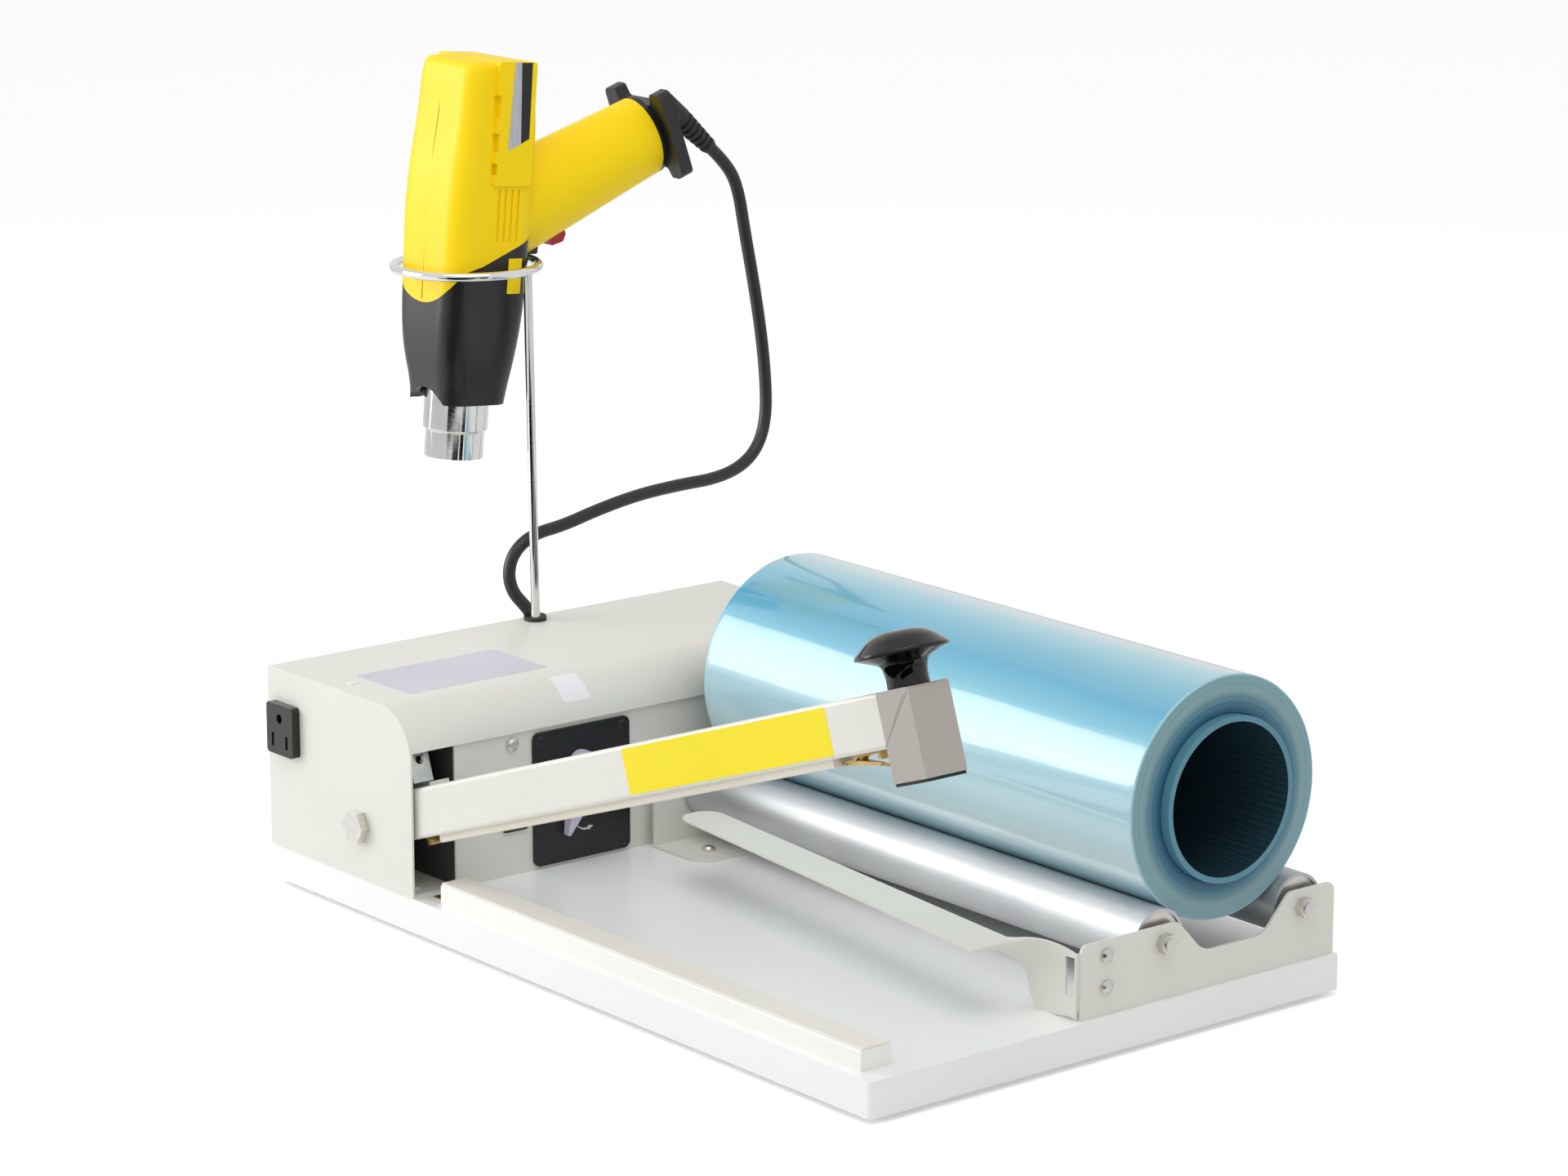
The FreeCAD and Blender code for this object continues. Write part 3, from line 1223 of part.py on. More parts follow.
def microswitch():
    """Switch body on the bay wall, and the roller lever below it."""
    hinge_z = BOARD_TOP + LEVER_HINGE_RISE
    sx, sy, sz = MICROSWITCH_SIZE
    low = hinge_z + MICROSWITCH_LIFT
    body = box((BAY_RIGHT - sx, BAY_RIGHT), (LEVER_HINGE_Y - sy + 6, LEVER_HINGE_Y + 6), (low, low + sz))
    mid = BAY_RIGHT - 1.0 - LEVER_WIDTH / 2
    roller_z = lever_roller_z()
    roller = (LEVER_ROLLER_Y, roller_z)
    hinge = (LEVER_HINGE_Y, hinge_z)
    run = math.dist(roller, hinge)
    left = mid - LEVER_WIDTH / 2
    right = left + LEVER_WIDTH
    half = LEVER_THICKNESS / 2
    strip = box((left, right), (LEVER_HINGE_Y - run, LEVER_HINGE_Y), (hinge_z - half, hinge_z + half))
    tilt = math.degrees(math.asin((hinge_z - roller_z) / run))
    strip = turned(strip, V(0, LEVER_HINGE_Y, hinge_z), X_AXIS, tilt)
    wheel = round_bar((left, *roller), (right, *roller), LEVER_ROLLER_RADIUS)
    pin = round_bar((left, *hinge), (BAY_RIGHT + SHEET, *hinge), LEVER_PIN_RADIUS)
    lever = strip.fuse([wheel, pin]).removeSplitter()
    return body, lever


def cradle_outline(left):
    centre = ROLLER_CENTRE_X
    top = CRADLE_TOP
    dip = CRADLE_TOP - SCOOP_DEPTH
    return [
        (left, BOARD_TOP),
        (left, top, 4.0),
        (centre - SCOOP_HALF_TOP, top, 6.0),
        (centre - SCOOP_HALF_BOTTOM, dip, 14.0),
        (centre + SCOOP_HALF_BOTTOM, dip, 14.0),
        (centre + SCOOP_HALF_TOP, top, 6.0),
        (CRADLE_RIGHT_X, top, 5.0),
        (CRADLE_RIGHT_X, BOARD_TOP),
    ]


def cradle_plate(y, left, foot_start, foot_end, rounded):
    """Folded plate: the upright with its scoop, and a foot flange on the board."""
    plate = slab(cradle_outline(left), in_xz(y), V(0, CRADLE_SHEET, 0))
    r = FOOT_CORNER
    right = CRADLE_RIGHT_X
    if rounded:
        corners = [(left, foot_end), (left, foot_start, r), (right, foot_start, r), (right, foot_end)]
    else:
        left += FRONT_FOOT_INSET
        corners = [(left, foot_start), (right, foot_start), (right, foot_end, r), (left, foot_end, r)]
    foot = slab(corners, in_xy(BOARD_TOP), V(0, 0, CRADLE_SHEET))
    plate = plate.fuse(foot).removeSplitter()
    for x in ROLLER_XS:
        plate = plate.cut(round_bar((x, y - 1, ROLLER_Z), (x, y + CRADLE_SHEET + 1, ROLLER_Z), AXLE_RADIUS))
    for x, sy, z in board_screw_seats():
        if z == BOARD_TOP + CRADLE_SHEET:
            plate = plate.cut(screw_hole((x, sy, z), (0, 0, -1)))
    return plate


def separator_screw_seats():
    return [(SEPARATOR_SCREW_X, CRADLE_FRONT, BOARD_TOP + rise) for rise in SEPARATOR_SCREW_RISES]


def cradle_plates():
    front = cradle_plate(CRADLE_FRONT, CRADLE_LEFT_X, CRADLE_FRONT, CRADLE_FRONT + FRONT_FOOT_DEPTH, False)
    for seat in separator_screw_seats():
        front = front.cut(screw_hole(seat, (0, 1, 0)))
    back = CRADLE_BACK
    face = back + CRADLE_SHEET
    rear = cradle_plate(back, REAR_PLATE_LEFT_X, face - REAR_FOOT_DEPTH, face, True)
    return front, rear


def film_separator():
    """Upright wing that twists in one sweep into the flat tongue under the film."""
    start = CRADLE_FRONT + CRADLE_SHEET
    low = BOARD_TOP
    heel = start + WING_LENGTH
    top = low + WING_HEIGHT
    t = SEPARATOR_SHEET
    left_x, left_y = TONGUE_FRONT_LEFT
    right_x, right_y = TONGUE_FRONT_RIGHT
    bottom_edge = [
        V(WING_X, start, low),
        V(WING_X, start + WING_LENGTH * 0.55, low),
        V(WING_X - 0.4, heel, low + 3),
        V(WING_X - 3.5, heel + 1, low + 16),
        V(WING_X - 12.0, heel + 1, low + 26.5),
        V(WING_X - 25.0, heel, low + 33.0),
        V(left_x, left_y, TONGUE_Z),
    ]
    top_edge = [
        V(WING_X, start, top),
        V(WING_X - 0.6, start + 5, top + 1.4),
        V(WING_X - 2.0, start + 11, top + 2.8),
        V(WING_X - 4.5, start + 17, top + 3.8),
        V(WING_X - 8.0, start + 23, top + 4.2),
        V(WING_X - 11.5, start + 28.5, top + 3.8),
        V(right_x, right_y, TONGUE_Z),
    ]
    sections = []
    for i, (b, e) in enumerate(zip(bottom_edge, top_edge)):
        ahead = min(i + 1, len(bottom_edge) - 1)
        behind = max(i - 1, 0)
        path = (bottom_edge[ahead] + top_edge[ahead]) - (bottom_edge[behind] + top_edge[behind])
        normal = path.cross(e - b)
        if i == 0:
            normal = V(X_AXIS)
        if i == len(bottom_edge) - 1:
            normal = V(0, 0, -1)
        normal.normalize()
        half = normal * (t / 2)
        sections.append(Part.makePolygon([b - half, e - half, e + half, b + half, b - half]))
    twist = Part.makeLoft(sections, True, False)
    tongue_corners = [
        TONGUE_FRONT_LEFT,
        TONGUE_FRONT_RIGHT,
        (*TONGUE_TIP_RIGHT, TONGUE_TIP_RADIUS),
        (*TONGUE_TIP_LEFT, TONGUE_TIP_RADIUS),
    ]
    tongue = slab(tongue_corners, in_xy(TONGUE_Z - t / 2), V(0, 0, t))
    flange = box(
        (WING_X - t / 2, WING_X + SEPARATOR_FLANGE),
        (start, start + t),
        (low + SEPARATOR_FLANGE_RISE[0], low + SEPARATOR_FLANGE_RISE[1]),
    )
    sheet = twist.fuse([tongue, flange]).removeSplitter()
    y0, y1, z0, z1 = SLOT_IN_WING
    sheet = sheet.cut(box((WING_X - 2, WING_X + 2), (start + y0, start + y1), (low + z0, low + z1)))
    for seat in separator_screw_seats():
        sheet = sheet.cut(screw_hole(seat, (0, 1, 0)))
    return sheet


def separator_screws():
    solids = []
    back = CRADLE_FRONT + CRADLE_SHEET + SEPARATOR_SHEET
    for seat in separator_screw_seats():
        solids.append(pan_screw(seat, (0, 1, 0), SCREW_LENGTH))
        nut = hexagon((seat[0], back, seat[2]), (0, 1, 0), NUT_FLATS, NUT_HEIGHT)
        solids.append(nut.cut(screw_hole(seat, (0, 1, 0))))
    return solids


def roller(x):
    bore = ROLLER_RADIUS - ROLLER_WALL
    tube = pipe((x, ROLLER_FRONT, ROLLER_Z), (x, ROLLER_BACK, ROLLER_Z), ROLLER_RADIUS, bore)
    bearings = []
    for y in (ROLLER_FRONT + 1, ROLLER_BACK - 1 - BEARING_WIDTH):
        bearing = pipe(
            (x, y, ROLLER_Z),
            (x, y + BEARING_WIDTH, ROLLER_Z),
            bore,
            AXLE_RADIUS + AXLE_CLEARANCE,
        )
        bearings.append(bearing)
    return tube, bearings


def roller_axles():
    axles = []
    nuts = []
    for x in ROLLER_XS:
        front = CRADLE_FRONT - AXLE_NUT_HEIGHT - 1
        rear = CRADLE_BACK + CRADLE_SHEET + AXLE_NUT_HEIGHT
        axle = round_bar((x, front, ROLLER_Z), (x, rear, ROLLER_Z), AXLE_RADIUS)
        axles.append(axle)
        for y, direction in ((CRADLE_FRONT, (0, -1, 0)), (CRADLE_BACK + CRADLE_SHEET, (0, 1, 0))):
            nut = hexagon((x, y, ROLLER_Z), direction, AXLE_NUT_FLATS, AXLE_NUT_HEIGHT)
            nuts.append(nut.cut(axle))
    return axles, nuts


def film_and_core():
    x = ROLLER_CENTRE_X
    core_radius = CORE_BORE_RADIUS + CORE_WALL
    film = pipe((x, FILM_FRONT, FILM_Z), (x, FILM_BACK, FILM_Z), FILM_RADIUS, core_radius)
    front = FILM_FRONT - CORE_PROUD
    back = FILM_BACK + CORE_PROUD
    core = pipe((x, front, FILM_Z), (x, back, FILM_Z), core_radius, CORE_BORE_RADIUS)
    return film, core


def holder_wire(radius):
    """Rod from its socket on the box floor up to the ring, with the ring."""
    base = V(ROD_BASE[0], ROD_BASE[1], FLOOR_TOP)
    top = V(ROD_TOP[0], ROD_TOP[1], RING_Z)
    rod = Part.makeCylinder(radius, (top - base).Length, base, top - base)
    ring = Part.makeTorus(RING_RADIUS, radius, V(RING_CENTRE[0], RING_CENTRE[1], RING_Z))
    return rod.fuse(ring).removeSplitter()


def grommet_oval(wall, low, high):
    """Oval column with a wall round the rod and the cord where they enter the hood."""
    climb = (BOX_TOP - FLOOR_TOP) / (RING_Z - FLOOR_TOP)
    rod = V(*ROD_BASE, 0) + (V(*ROD_TOP, 0) - V(*ROD_BASE, 0)) * climb
    apart = V(CORD_POINTS[-1][0], CORD_POINTS[-1][1], 0) - rod
    middle = rod + apart * (0.5 + (CORD_RADIUS - ROD_RADIUS) / 2 / apart.Length)
    half = (apart.Length + CORD_RADIUS + ROD_RADIUS) / 2 + wall
    side = CORD_RADIUS + GROMMET_SIDE + wall
    corners = [(sx * half, sy * side, side - 0.01) for sx, sy in ((-1, -1), (1, -1), (1, 1), (-1, 1))]
    oval = slab(corners, in_xy(low), V(0, 0, high - low))
    oval.rotate(V(0, 0, 0), Z_AXIS, math.degrees(math.atan2(apart.y, apart.x)))
    oval.translate(middle)
    return oval


def grommet_neck():
    return grommet_oval(GROMMET_WALL, BOX_TOP - 2 * SHEET, BOX_TOP + 1)


def holder_grommet(hood, cord):
    low = BOX_TOP - SHEET
    top = grommet_oval(GROMMET_WALL + GROMMET_FLANGE, BOX_TOP, BOX_TOP + GROMMET_LIP)
    under = grommet_oval(GROMMET_WALL + GROMMET_UNDER_FLANGE, low - 1, low)
    neck = grommet_oval(GROMMET_WALL, low, BOX_TOP)
    grommet = top.fuse([under, neck]).removeSplitter()
    return grommet.cut(holder_wire(ROD_RADIUS)).cut(cord).cut(hood)


def barrel():
    sections = []
    for height, back, front, half, r in BARREL:
        corners = [(back, -half, r), (front, -half, r), (front, half, r), (back, half, r)]
        sections.append(outline(corners, in_xy(height)))
    body = Part.makeLoft(sections, True, False)
    rim = [edge for edge in body.Edges if edge.BoundBox.ZMin > BARREL[-1][0] - 0.1]
    return body.makeFillet(BARREL_TOP_ROUND, rim)


def grip():
    """Handle of oval sections, in the gun's frame."""
    sections = []
    for distance, half_height, half_width in GRIP:
        oval = Part.Ellipse(V(0, 0, 0), half_height, half_width).toShape()
        oval.rotate(V(0, 0, 0), Y_AXIS, 90)
        oval.translate(V(distance, 0, 0))
        sections.append(Part.Wire(oval))
    return on_handle(Part.makeLoft(sections, True, False))


def above_part_line():
    """Region over the line where the yellow shells meet the black guard: curved round the
    back, then straight and steep along the flanks."""
    back = -60.0
    far = 45.0
    top = 200.0
    half = PART_LINE_HALF
    drop = PART_LINE_SLOPE * (back + half)
    edge = PART_LINE_EDGE + drop
    low = V(back, 0, PART_LINE_CENTRE + drop)
    points = [V(back, half, edge), V(back, far, edge), V(back, far, top), V(back, -far, top)]
    points += [V(back, -far, edge), V(back, -half, edge)]
    edges = [Part.LineSegment(a, b).toShape() for a, b in zip(points, points[1:])]
    edges.append(Part.Arc(points[-1], low, points[0]).toShape())
    run = PART_LINE_BEND - back
    rear = Part.Face(Part.Wire(edges)).extrude(V(run, 0, run * PART_LINE_SLOPE))
    bend = edge + run * PART_LINE_SLOPE
    end = bend + PART_LINE_STEEP * (top - PART_LINE_BEND)
    sides = [(PART_LINE_BEND, bend), (top, end), (top, end + top), (PART_LINE_BEND, end + top)]
    front = slab(sides, in_xz(-far), V(0, 2 * far, 0))
    return rear.fuse(front)


def flank_windows():
    """Openings in the guard's flanks that the yellow shells fill, each joined to its shell
    by a web behind the guard's black band."""
    xs = (WINDOW_BACK, WINDOW_FRONT)
    windows = []
    for side in (-1, 1):
        inner = side * CAVITY_RADIUS
        windows.append(box(xs, sorted((inner, side * 45.0)), (WINDOW_LOW, WINDOW_HIGH)))
        windows.append(box(xs, sorted((inner, side * WINDOW_WEB)), (WINDOW_HIGH - 1, WEB_HIGH)))
    return windows[0].fuse(windows[1:])


def gun_cavity():
    """Space for the heater, motor and fan inside the barrel."""
    lower = round_bar((0, 0, CAVITY_BOTTOM), (0, 0, CAVITY_TOP), CAVITY_RADIUS)
    upper = round_bar((0, 0, CAVITY_TOP - 1), (0, 0, UPPER_CAVITY_TOP), UPPER_CAVITY_RADIUS)
    return lower.fuse(upper)


def grip_bore():
    return on_handle(round_bar((10, 0, 0), (GUN_HANDLE_LENGTH + 1, 0, 0), HANDLE_BORE))


def trigger_block(gap):
    """Finger switch under the handle root, in the handle's frame, grown by a gap."""
    half = TRIGGER_HALF_WIDTH + gap
    low = -TRIGGER_SEAT - TRIGGER_PROUD
    corners = [
        (TRIGGER_START - gap, -TRIGGER_SEAT + TRIGGER_STEM + gap),
        (TRIGGER_START - gap, low + 1, 1.0),
        (TRIGGER_END - 3, low, 1.5),
        (TRIGGER_END + gap, low + 3, 1.0),
        (TRIGGER_END + gap, -TRIGGER_SEAT + TRIGGER_STEM + gap),
    ]
    return slab(corners, in_xz(-half), V(0, 2 * half, 0))


def trigger_slot():
    """Slot in the handle that leaves the switch room for its travel."""
    g = TRIGGER_GAP
    half = TRIGGER_HALF_WIDTH + g
    high = 2.0 - HANDLE_BORE
    return on_handle(box((TRIGGER_START - g, TRIGGER_END + g), (-half, half), (-45.0, high)))


def gun_shells(body, handle):
    """Two yellow halves, parted on the gun's middle plane."""
    upper = above_part_line()
    shell = body.common(upper).fuse([body.common(flank_windows()), handle]).removeSplitter()
    half = BARREL[5][3]
    ends = ((PAD_BACK, PAD_LOW), (PAD_FRONT, PAD_LOW), (PAD_FRONT, PAD_HIGH), (PAD_BACK, PAD_HIGH))
    pad_corners = [(u, w, PAD_CORNER) for u, w in ends]
    face = half + PAD_PROUD
    pads = slab(pad_corners, in_xz(-face), V(0, 2 * face, 0))
    shell = shell.fuse(pads).removeSplitter()
    for low, high in VENTS:
        for side in (-1, 1):
            ys = sorted((side * (face + 1), side * (half - VENT_DEPTH)))
            shell = shell.cut(box((PAD_BACK - 1, PAD_BACK - 1 + VENT_WIDTH), ys, (low, high)))
    for i in range(GROOVE_COUNT):
        x = i * GROOVE_PITCH
        for side in (-1, 1):
            ys = sorted((side * (BARREL[4][3] + 2), side * (BARREL[4][3] - GROOVE_DEPTH)))
            shell = shell.cut(box((x, x + GROOVE_WIDTH), ys, GROOVE_SPAN))
    shell = shell.cut(gun_cavity()).cut(grip_bore()).cut(trigger_slot())
    big = 300.0
    left = shell.common(box((-big, big), (-big, 0), (-big, big)))
    right = shell.common(box((-big, big), (0, big), (-big, big)))
    return left, right


def gun_nose_guard(body, handle):
    """Black guard round the nozzle, with the strap that rests on the ring."""
    upper = above_part_line()
    guard = body.cut(upper).cut(handle).cut(flank_windows())
    strap = [
        (20.0, -60.0),
        (27.0, -60.0, 3.0),
        (34.5, -14.0, 6.0),
        (36.6, 6.4),
        (STRAP_REACH, 6.4, 1.5),
        (STRAP_REACH, 13.0),
        (20.0, 13.0),
    ]
    half = STRAP_HALF_WIDTH
    strap = slab(strap, in_xz(-half), V(0, 2 * half, 0))
    strap = strap.cut(body.common(upper)).cut(handle)
    pieces = sorted(strap.Solids, key=lambda s: s.Volume)
    guard = guard.fuse(pieces[-1])
    guard = guard.cut(gun_cavity())
    low = BARREL[0][0]
    arch = round_bar((-40, 0, low - ARCH_DROP), (0, 0, low - ARCH_DROP), ARCH_RADIUS)
    return guard.cut(arch)


def gun_nozzle():
    """Stepped chrome tube with a flange in the guard and a rolled bead."""
    r = NOZZLE_RADIUS
    w = NOZZLE_WALL
    m = MOUTH_RADIUS
    corners = [
        (r - w, NOZZLE_TOP),
        (CAVITY_RADIUS, NOZZLE_TOP),
        (CAVITY_RADIUS, NOZZLE_TOP - 1.5),
        (r, NOZZLE_TOP - 1.5),
        (r, NOZZLE_STEP, 0.6),
        (m, NOZZLE_STEP - 1.2, 0.4),
        (m, NOZZLE_MOUTH),
        (m - w, NOZZLE_MOUTH),
        (m - w, NOZZLE_STEP - 1.6),
        (r - w, NOZZLE_STEP + 0.8),
    ]
    return turning(corners, 0, 0)


def gun_heater():
    """Ceramic core with air channels, held by a disc across the barrel."""
    core = round_bar((0, 0, HEATER_LOW), (0, 0, HEATER_HIGH), HEATER_RADIUS)
    disc = round_bar((0, 0, HEATER_HIGH), (0, 0, HEATER_HIGH + MOUNT_DISC), CAVITY_RADIUS)
    heater = core.fuse(disc).removeSplitter()
    for i in range(HEATER_HOLES):
        angle = 2 * math.pi * i / HEATER_HOLES
        x = 8.0 * math.cos(angle)
        y = 8.0 * math.sin(angle)
        heater = heater.cut(round_bar((x, y, HEATER_LOW - 1), (x, y, HEATER_HIGH + 5), 2.6))
    return heater


def gun_motor():
    """Motor can with its mounting disc, open between the spokes for the air."""
    can = round_bar((0, 0, MOTOR_LOW), (0, 0, MOTOR_HIGH), MOTOR_RADIUS)
    middle = (MOTOR_LOW + MOTOR_HIGH) / 2
    disc = pipe((0, 0, middle), (0, 0, middle + MOUNT_DISC), CAVITY_RADIUS, MOTOR_RADIUS)
    for i in range(4):
        angle = math.pi / 2 * i + math.pi / 4
        r = (CAVITY_RADIUS + MOTOR_RADIUS) / 2
        x = r * math.cos(angle)
        y = r * math.sin(angle)
        disc = disc.cut(round_bar((x, y, middle - 1), (x, y, middle + 4), 3.0))
    motor = can.fuse(disc).removeSplitter()
    return motor.cut(round_bar((0, 0, MOTOR_HIGH - 12), (0, 0, MOTOR_HIGH + 1), FAN_SHAFT_RADIUS + 0.05))


def gun_fan():
    """Axial fan: hub, pitched blades and its shaft in the motor."""
    shaft = round_bar((0, 0, MOTOR_HIGH - 11), (0, 0, FAN_HIGH), FAN_SHAFT_RADIUS)
    hub = round_bar((0, 0, FAN_LOW), (0, 0, FAN_HIGH), 5.0)
    blades = []
    for i in range(FAN_BLADES):
        blade = box((4.0, FAN_RADIUS - 0.6), (-0.6, 0.6), (FAN_LOW + 0.5, FAN_HIGH - 0.5))
        blade = turned(blade, V(0, 0, (FAN_LOW + FAN_HIGH) / 2), X_AXIS, 35)
        blades.append(turned(blade, V(0, 0, 0), Z_AXIS, 360 / FAN_BLADES * i))
    return hub.fuse([shaft] + blades).removeSplitter()


def gun_end_cap():
    """Handle end: collar, plug in the bore, the horned standing plate and the cord boss."""
    end = GUN_HANDLE_LENGTH
    last = GRIP[-1]
    oval = Part.Ellipse(V(0, 0, 0), last[1], last[2]).toShape()
    oval.rotate(V(0, 0, 0), Y_AXIS, 90)
    oval.translate(V(end, 0, 0))
    collar = Part.Face(Part.Wire(oval)).extrude(V(CAP_COLLAR, 0, 0))
    plug = round_bar((end - 8, 0, 0), (end, 0, 0), HANDLE_BORE)
    notch = CAP_HALF_WIDTH - HORN_WIDTH
    half = [
        (CAP_HALF_WIDTH, CAP_TOP, 4.0),
        (CAP_HALF_WIDTH, -CAP_BOTTOM, 4.0),
        (notch, -CAP_BOTTOM, 2.0),
        (notch - 2, BOTTOM_NOTCH - CAP_BOTTOM, 2.5),
    ]
    tips = [(notch - 2, CAP_TOP - TOP_NOTCH, 2.5), (notch, CAP_TOP, 2.0)]
    horns = half + [(-v, n, r) for v, n, r in reversed(half)]
    horns += [(-v, n, r) for v, n, r in reversed(tips)] + tips
    plate_x = end + CAP_COLLAR
    plate = slab(horns, in_yz(plate_x), V(CAP_PLATE, 0, 0))
    boss_x = plate_x + CAP_PLATE
    boss_end = boss_x + CAP_BOSS_LENGTH
    boss = round_bar((boss_x, 0, CAP_BOSS_LIFT), (boss_end, 0, CAP_BOSS_LIFT), CAP_BOSS_RADIUS)
    return hung(on_handle(collar.fuse([plug, plate, boss]).removeSplitter()))


def gun_strain_relief(cap, cord):
    """Ribbed rubber sleeve from the cap's boss to the cord."""
    start = V(RELIEF_START[0], RING_CENTRE[1], RELIEF_START[1])
    end = V(RELIEF_END[0], RING_CENTRE[1], RELIEF_END[1])
    run = end - start
    length = run.Length
    corners = [(0, 0), (RELIEF_BIG, 0), (RELIEF_BIG, length * 0.35)]
    pitch = length * 0.6 / RELIEF_RIBS
    for i in range(RELIEF_RIBS):
        z = length * 0.35 + (i + 0.25) * pitch
        r = RELIEF_BIG + (RELIEF_SMALL - RELIEF_BIG) * (i + 0.5) / RELIEF_RIBS
        corners += [(r - 1.0, z), (r - 1.0, z + pitch * 0.35), (r, z + pitch * 0.35), (r, z + pitch * 0.75)]
    corners += [(RELIEF_SMALL - 0.6, length), (0, length)]
    sleeve = turning(corners, 0, 0)
    sleeve.Placement = FreeCAD.Placement(start, FreeCAD.Rotation(Z_AXIS, run))
    return sleeve.cut(cap).cut(cord)


def gun_cord():
    """Tube of straight runs joined by tangent arcs, as large as the runs allow."""
    points = [V(*p) for p in CORD_POINTS]
    edges = []
    last = points[0]
    for before, here, after in zip(points, points[1:], points[2:]):
        back = before - here
        ahead = after - here
        shorter = min(back.Length, ahead.Length)
        back.normalize()
        ahead.normalize()
        turn = math.pi - back.getAngle(ahead)
        trim = 0.45 * shorter
        radius = trim / math.tan(turn / 2)
        middle = back + ahead
        middle.normalize()
        reach = radius / math.cos(turn / 2) - radius
        print(f"cord turn {math.degrees(turn):5.1f} radius {radius:6.1f}")
        enter = here + back * trim
        leave = here + ahead * trim
        edges.append(Part.LineSegment(last, enter).toShape())
        edges.append(Part.Arc(enter, here + middle * reach, leave).toShape())
        last = leave
    edges.append(Part.LineSegment(last, points[-1]).toShape())
    path = Part.Wire(edges)
    start = Part.Circle(points[0], points[1] - points[0], CORD_RADIUS).toShape()
    tube = path.makePipeShell([Part.Wire(start)], True, False)
    ideal = math.pi * CORD_RADIUS ** 2 * path.Length
    print(f"cord length {path.Length:.1f} volume {tube.Volume:.1f} of {ideal:.1f}")
    return tube


def main():
    os.makedirs("parts", exist_ok=True)
    write("base_board", base_board())
    write("rubber_feet", *rubber_feet())
    bed, pad = seal_bed()
    write("seal_bed_bar", bed)
    write("seal_bed_pad", pad)
    write("bed_rear_clip", bed_rear_clip())

    write("box_floor", box_floor())
    write("end_plate_left", end_plate(-1))
    write("end_plate_right", end_plate(1))
    hood = box_hood()
    write("box_hood", hood)
    write("rear_panel", rear_panel())
    write("front_panel", front_panel())
    write("arm_bay_wall", arm_bay_wall())
    write("control_plate", control_plate())
    write("plate_rivets", *plate_rivets())
    screws = [pan_screw(seat, (0, 1, 0)) for seat in panel_screw_seats()]
    screws += [pan_screw(seat, (0, -1, 0)) for seat in hood_screw_seats()]
    screws += [pan_screw(seat, (0, 0, -1)) for seat in board_screw_seats()]
    write("pan_screws", *screws)
    write("timer_knob", timer_knob())
    write("timer_board", *timer_board())
    write("switch_body", switch_body())
    write("switch_rocker", switch_rocker())
    core, coil = transformer()
    write("transformer_core", core)
    write("transformer_coil", coil)
    write("power_outlet", power_outlet())
    write("mains_gland", mains_gland())
    body, lever = microswitch()
    write("microswitch_body", body)
    write("microswitch_lever", lever)

    write("pivot_bolt", pivot_bolt())
    write("arm_tube", raised(seal_arm()))
    write("arm_end_block", raised(arm_end_block()))
    write("arm_bumper", raised(arm_bumper()))
    write("handle_knob", raised(handle_knob()))
    write("element_carrier", raised(element_carrier()))
    write("seal_wire", raised(seal_wire_solid()))
    write("wire_clips", *[raised(clip) for clip in wire_clips()])
    write("spring_bracket", raised(spring_bracket()))
    write("return_spring", return_spring())

    front, rear = cradle_plates()
    write("cradle_front_plate", front)
    write("cradle_rear_plate", rear)
    write("film_separator", film_separator())
    write("separator_screws", *separator_screws())
    axles, nuts = roller_axles()
    write("roller_axles", *axles)
    write("axle_nuts", *nuts)
    for name, x in zip(("roller_left", "roller_right"), ROLLER_XS):
        tube, bearings = roller(x)
        write(name, tube)
        write(name + "_bearings", *bearings)
    film, film_core = film_and_core()
    write("film_roll", film)
    write("film_core", film_core)

    cord = gun_cord()
    write("holder_ring", holder_wire(ROD_RADIUS))
    write("holder_grommet", holder_grommet(hood, cord))
    barrel_solid = barrel()
    grip_solid = grip()
    left, right = gun_shells(barrel_solid, grip_solid)
    write("gun_shell_left", hung(left))
    write("gun_shell_right", hung(right))
    write("gun_nose_guard", hung(gun_nose_guard(barrel_solid, grip_solid)))
    write("gun_nozzle", hung(gun_nozzle()))
    write("gun_heater", hung(gun_heater()))
    write("gun_motor", hung(gun_motor()))
    write("gun_fan", hung(gun_fan()))
    write("gun_switch", hung(on_handle(trigger_block(0))))
    cap = gun_end_cap()
    write("gun_end_cap", cap)
    write("gun_strain_relief", gun_strain_relief(cap, cord))
    write("gun_cord", cord)


main()
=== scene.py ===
# %% [markdown]
# An i-bar sealer: a white board with a heated sealing arm, a control box, a cradle that
# carries a roll of shrink film, and a hot-air gun that hangs in a wire ring. The packed
# CAD model gives every solid its place. This lesson lights it, frames it as the
# photograph does, lays the gun's cord, gives each node a finish with real detail, and
# adds the fine pieces that are easier to write as surfaces than as solids.

# %% Load the fixed frame
import math
import bmesh
import bpy
import numpy as np
from mathutils import Matrix, Vector


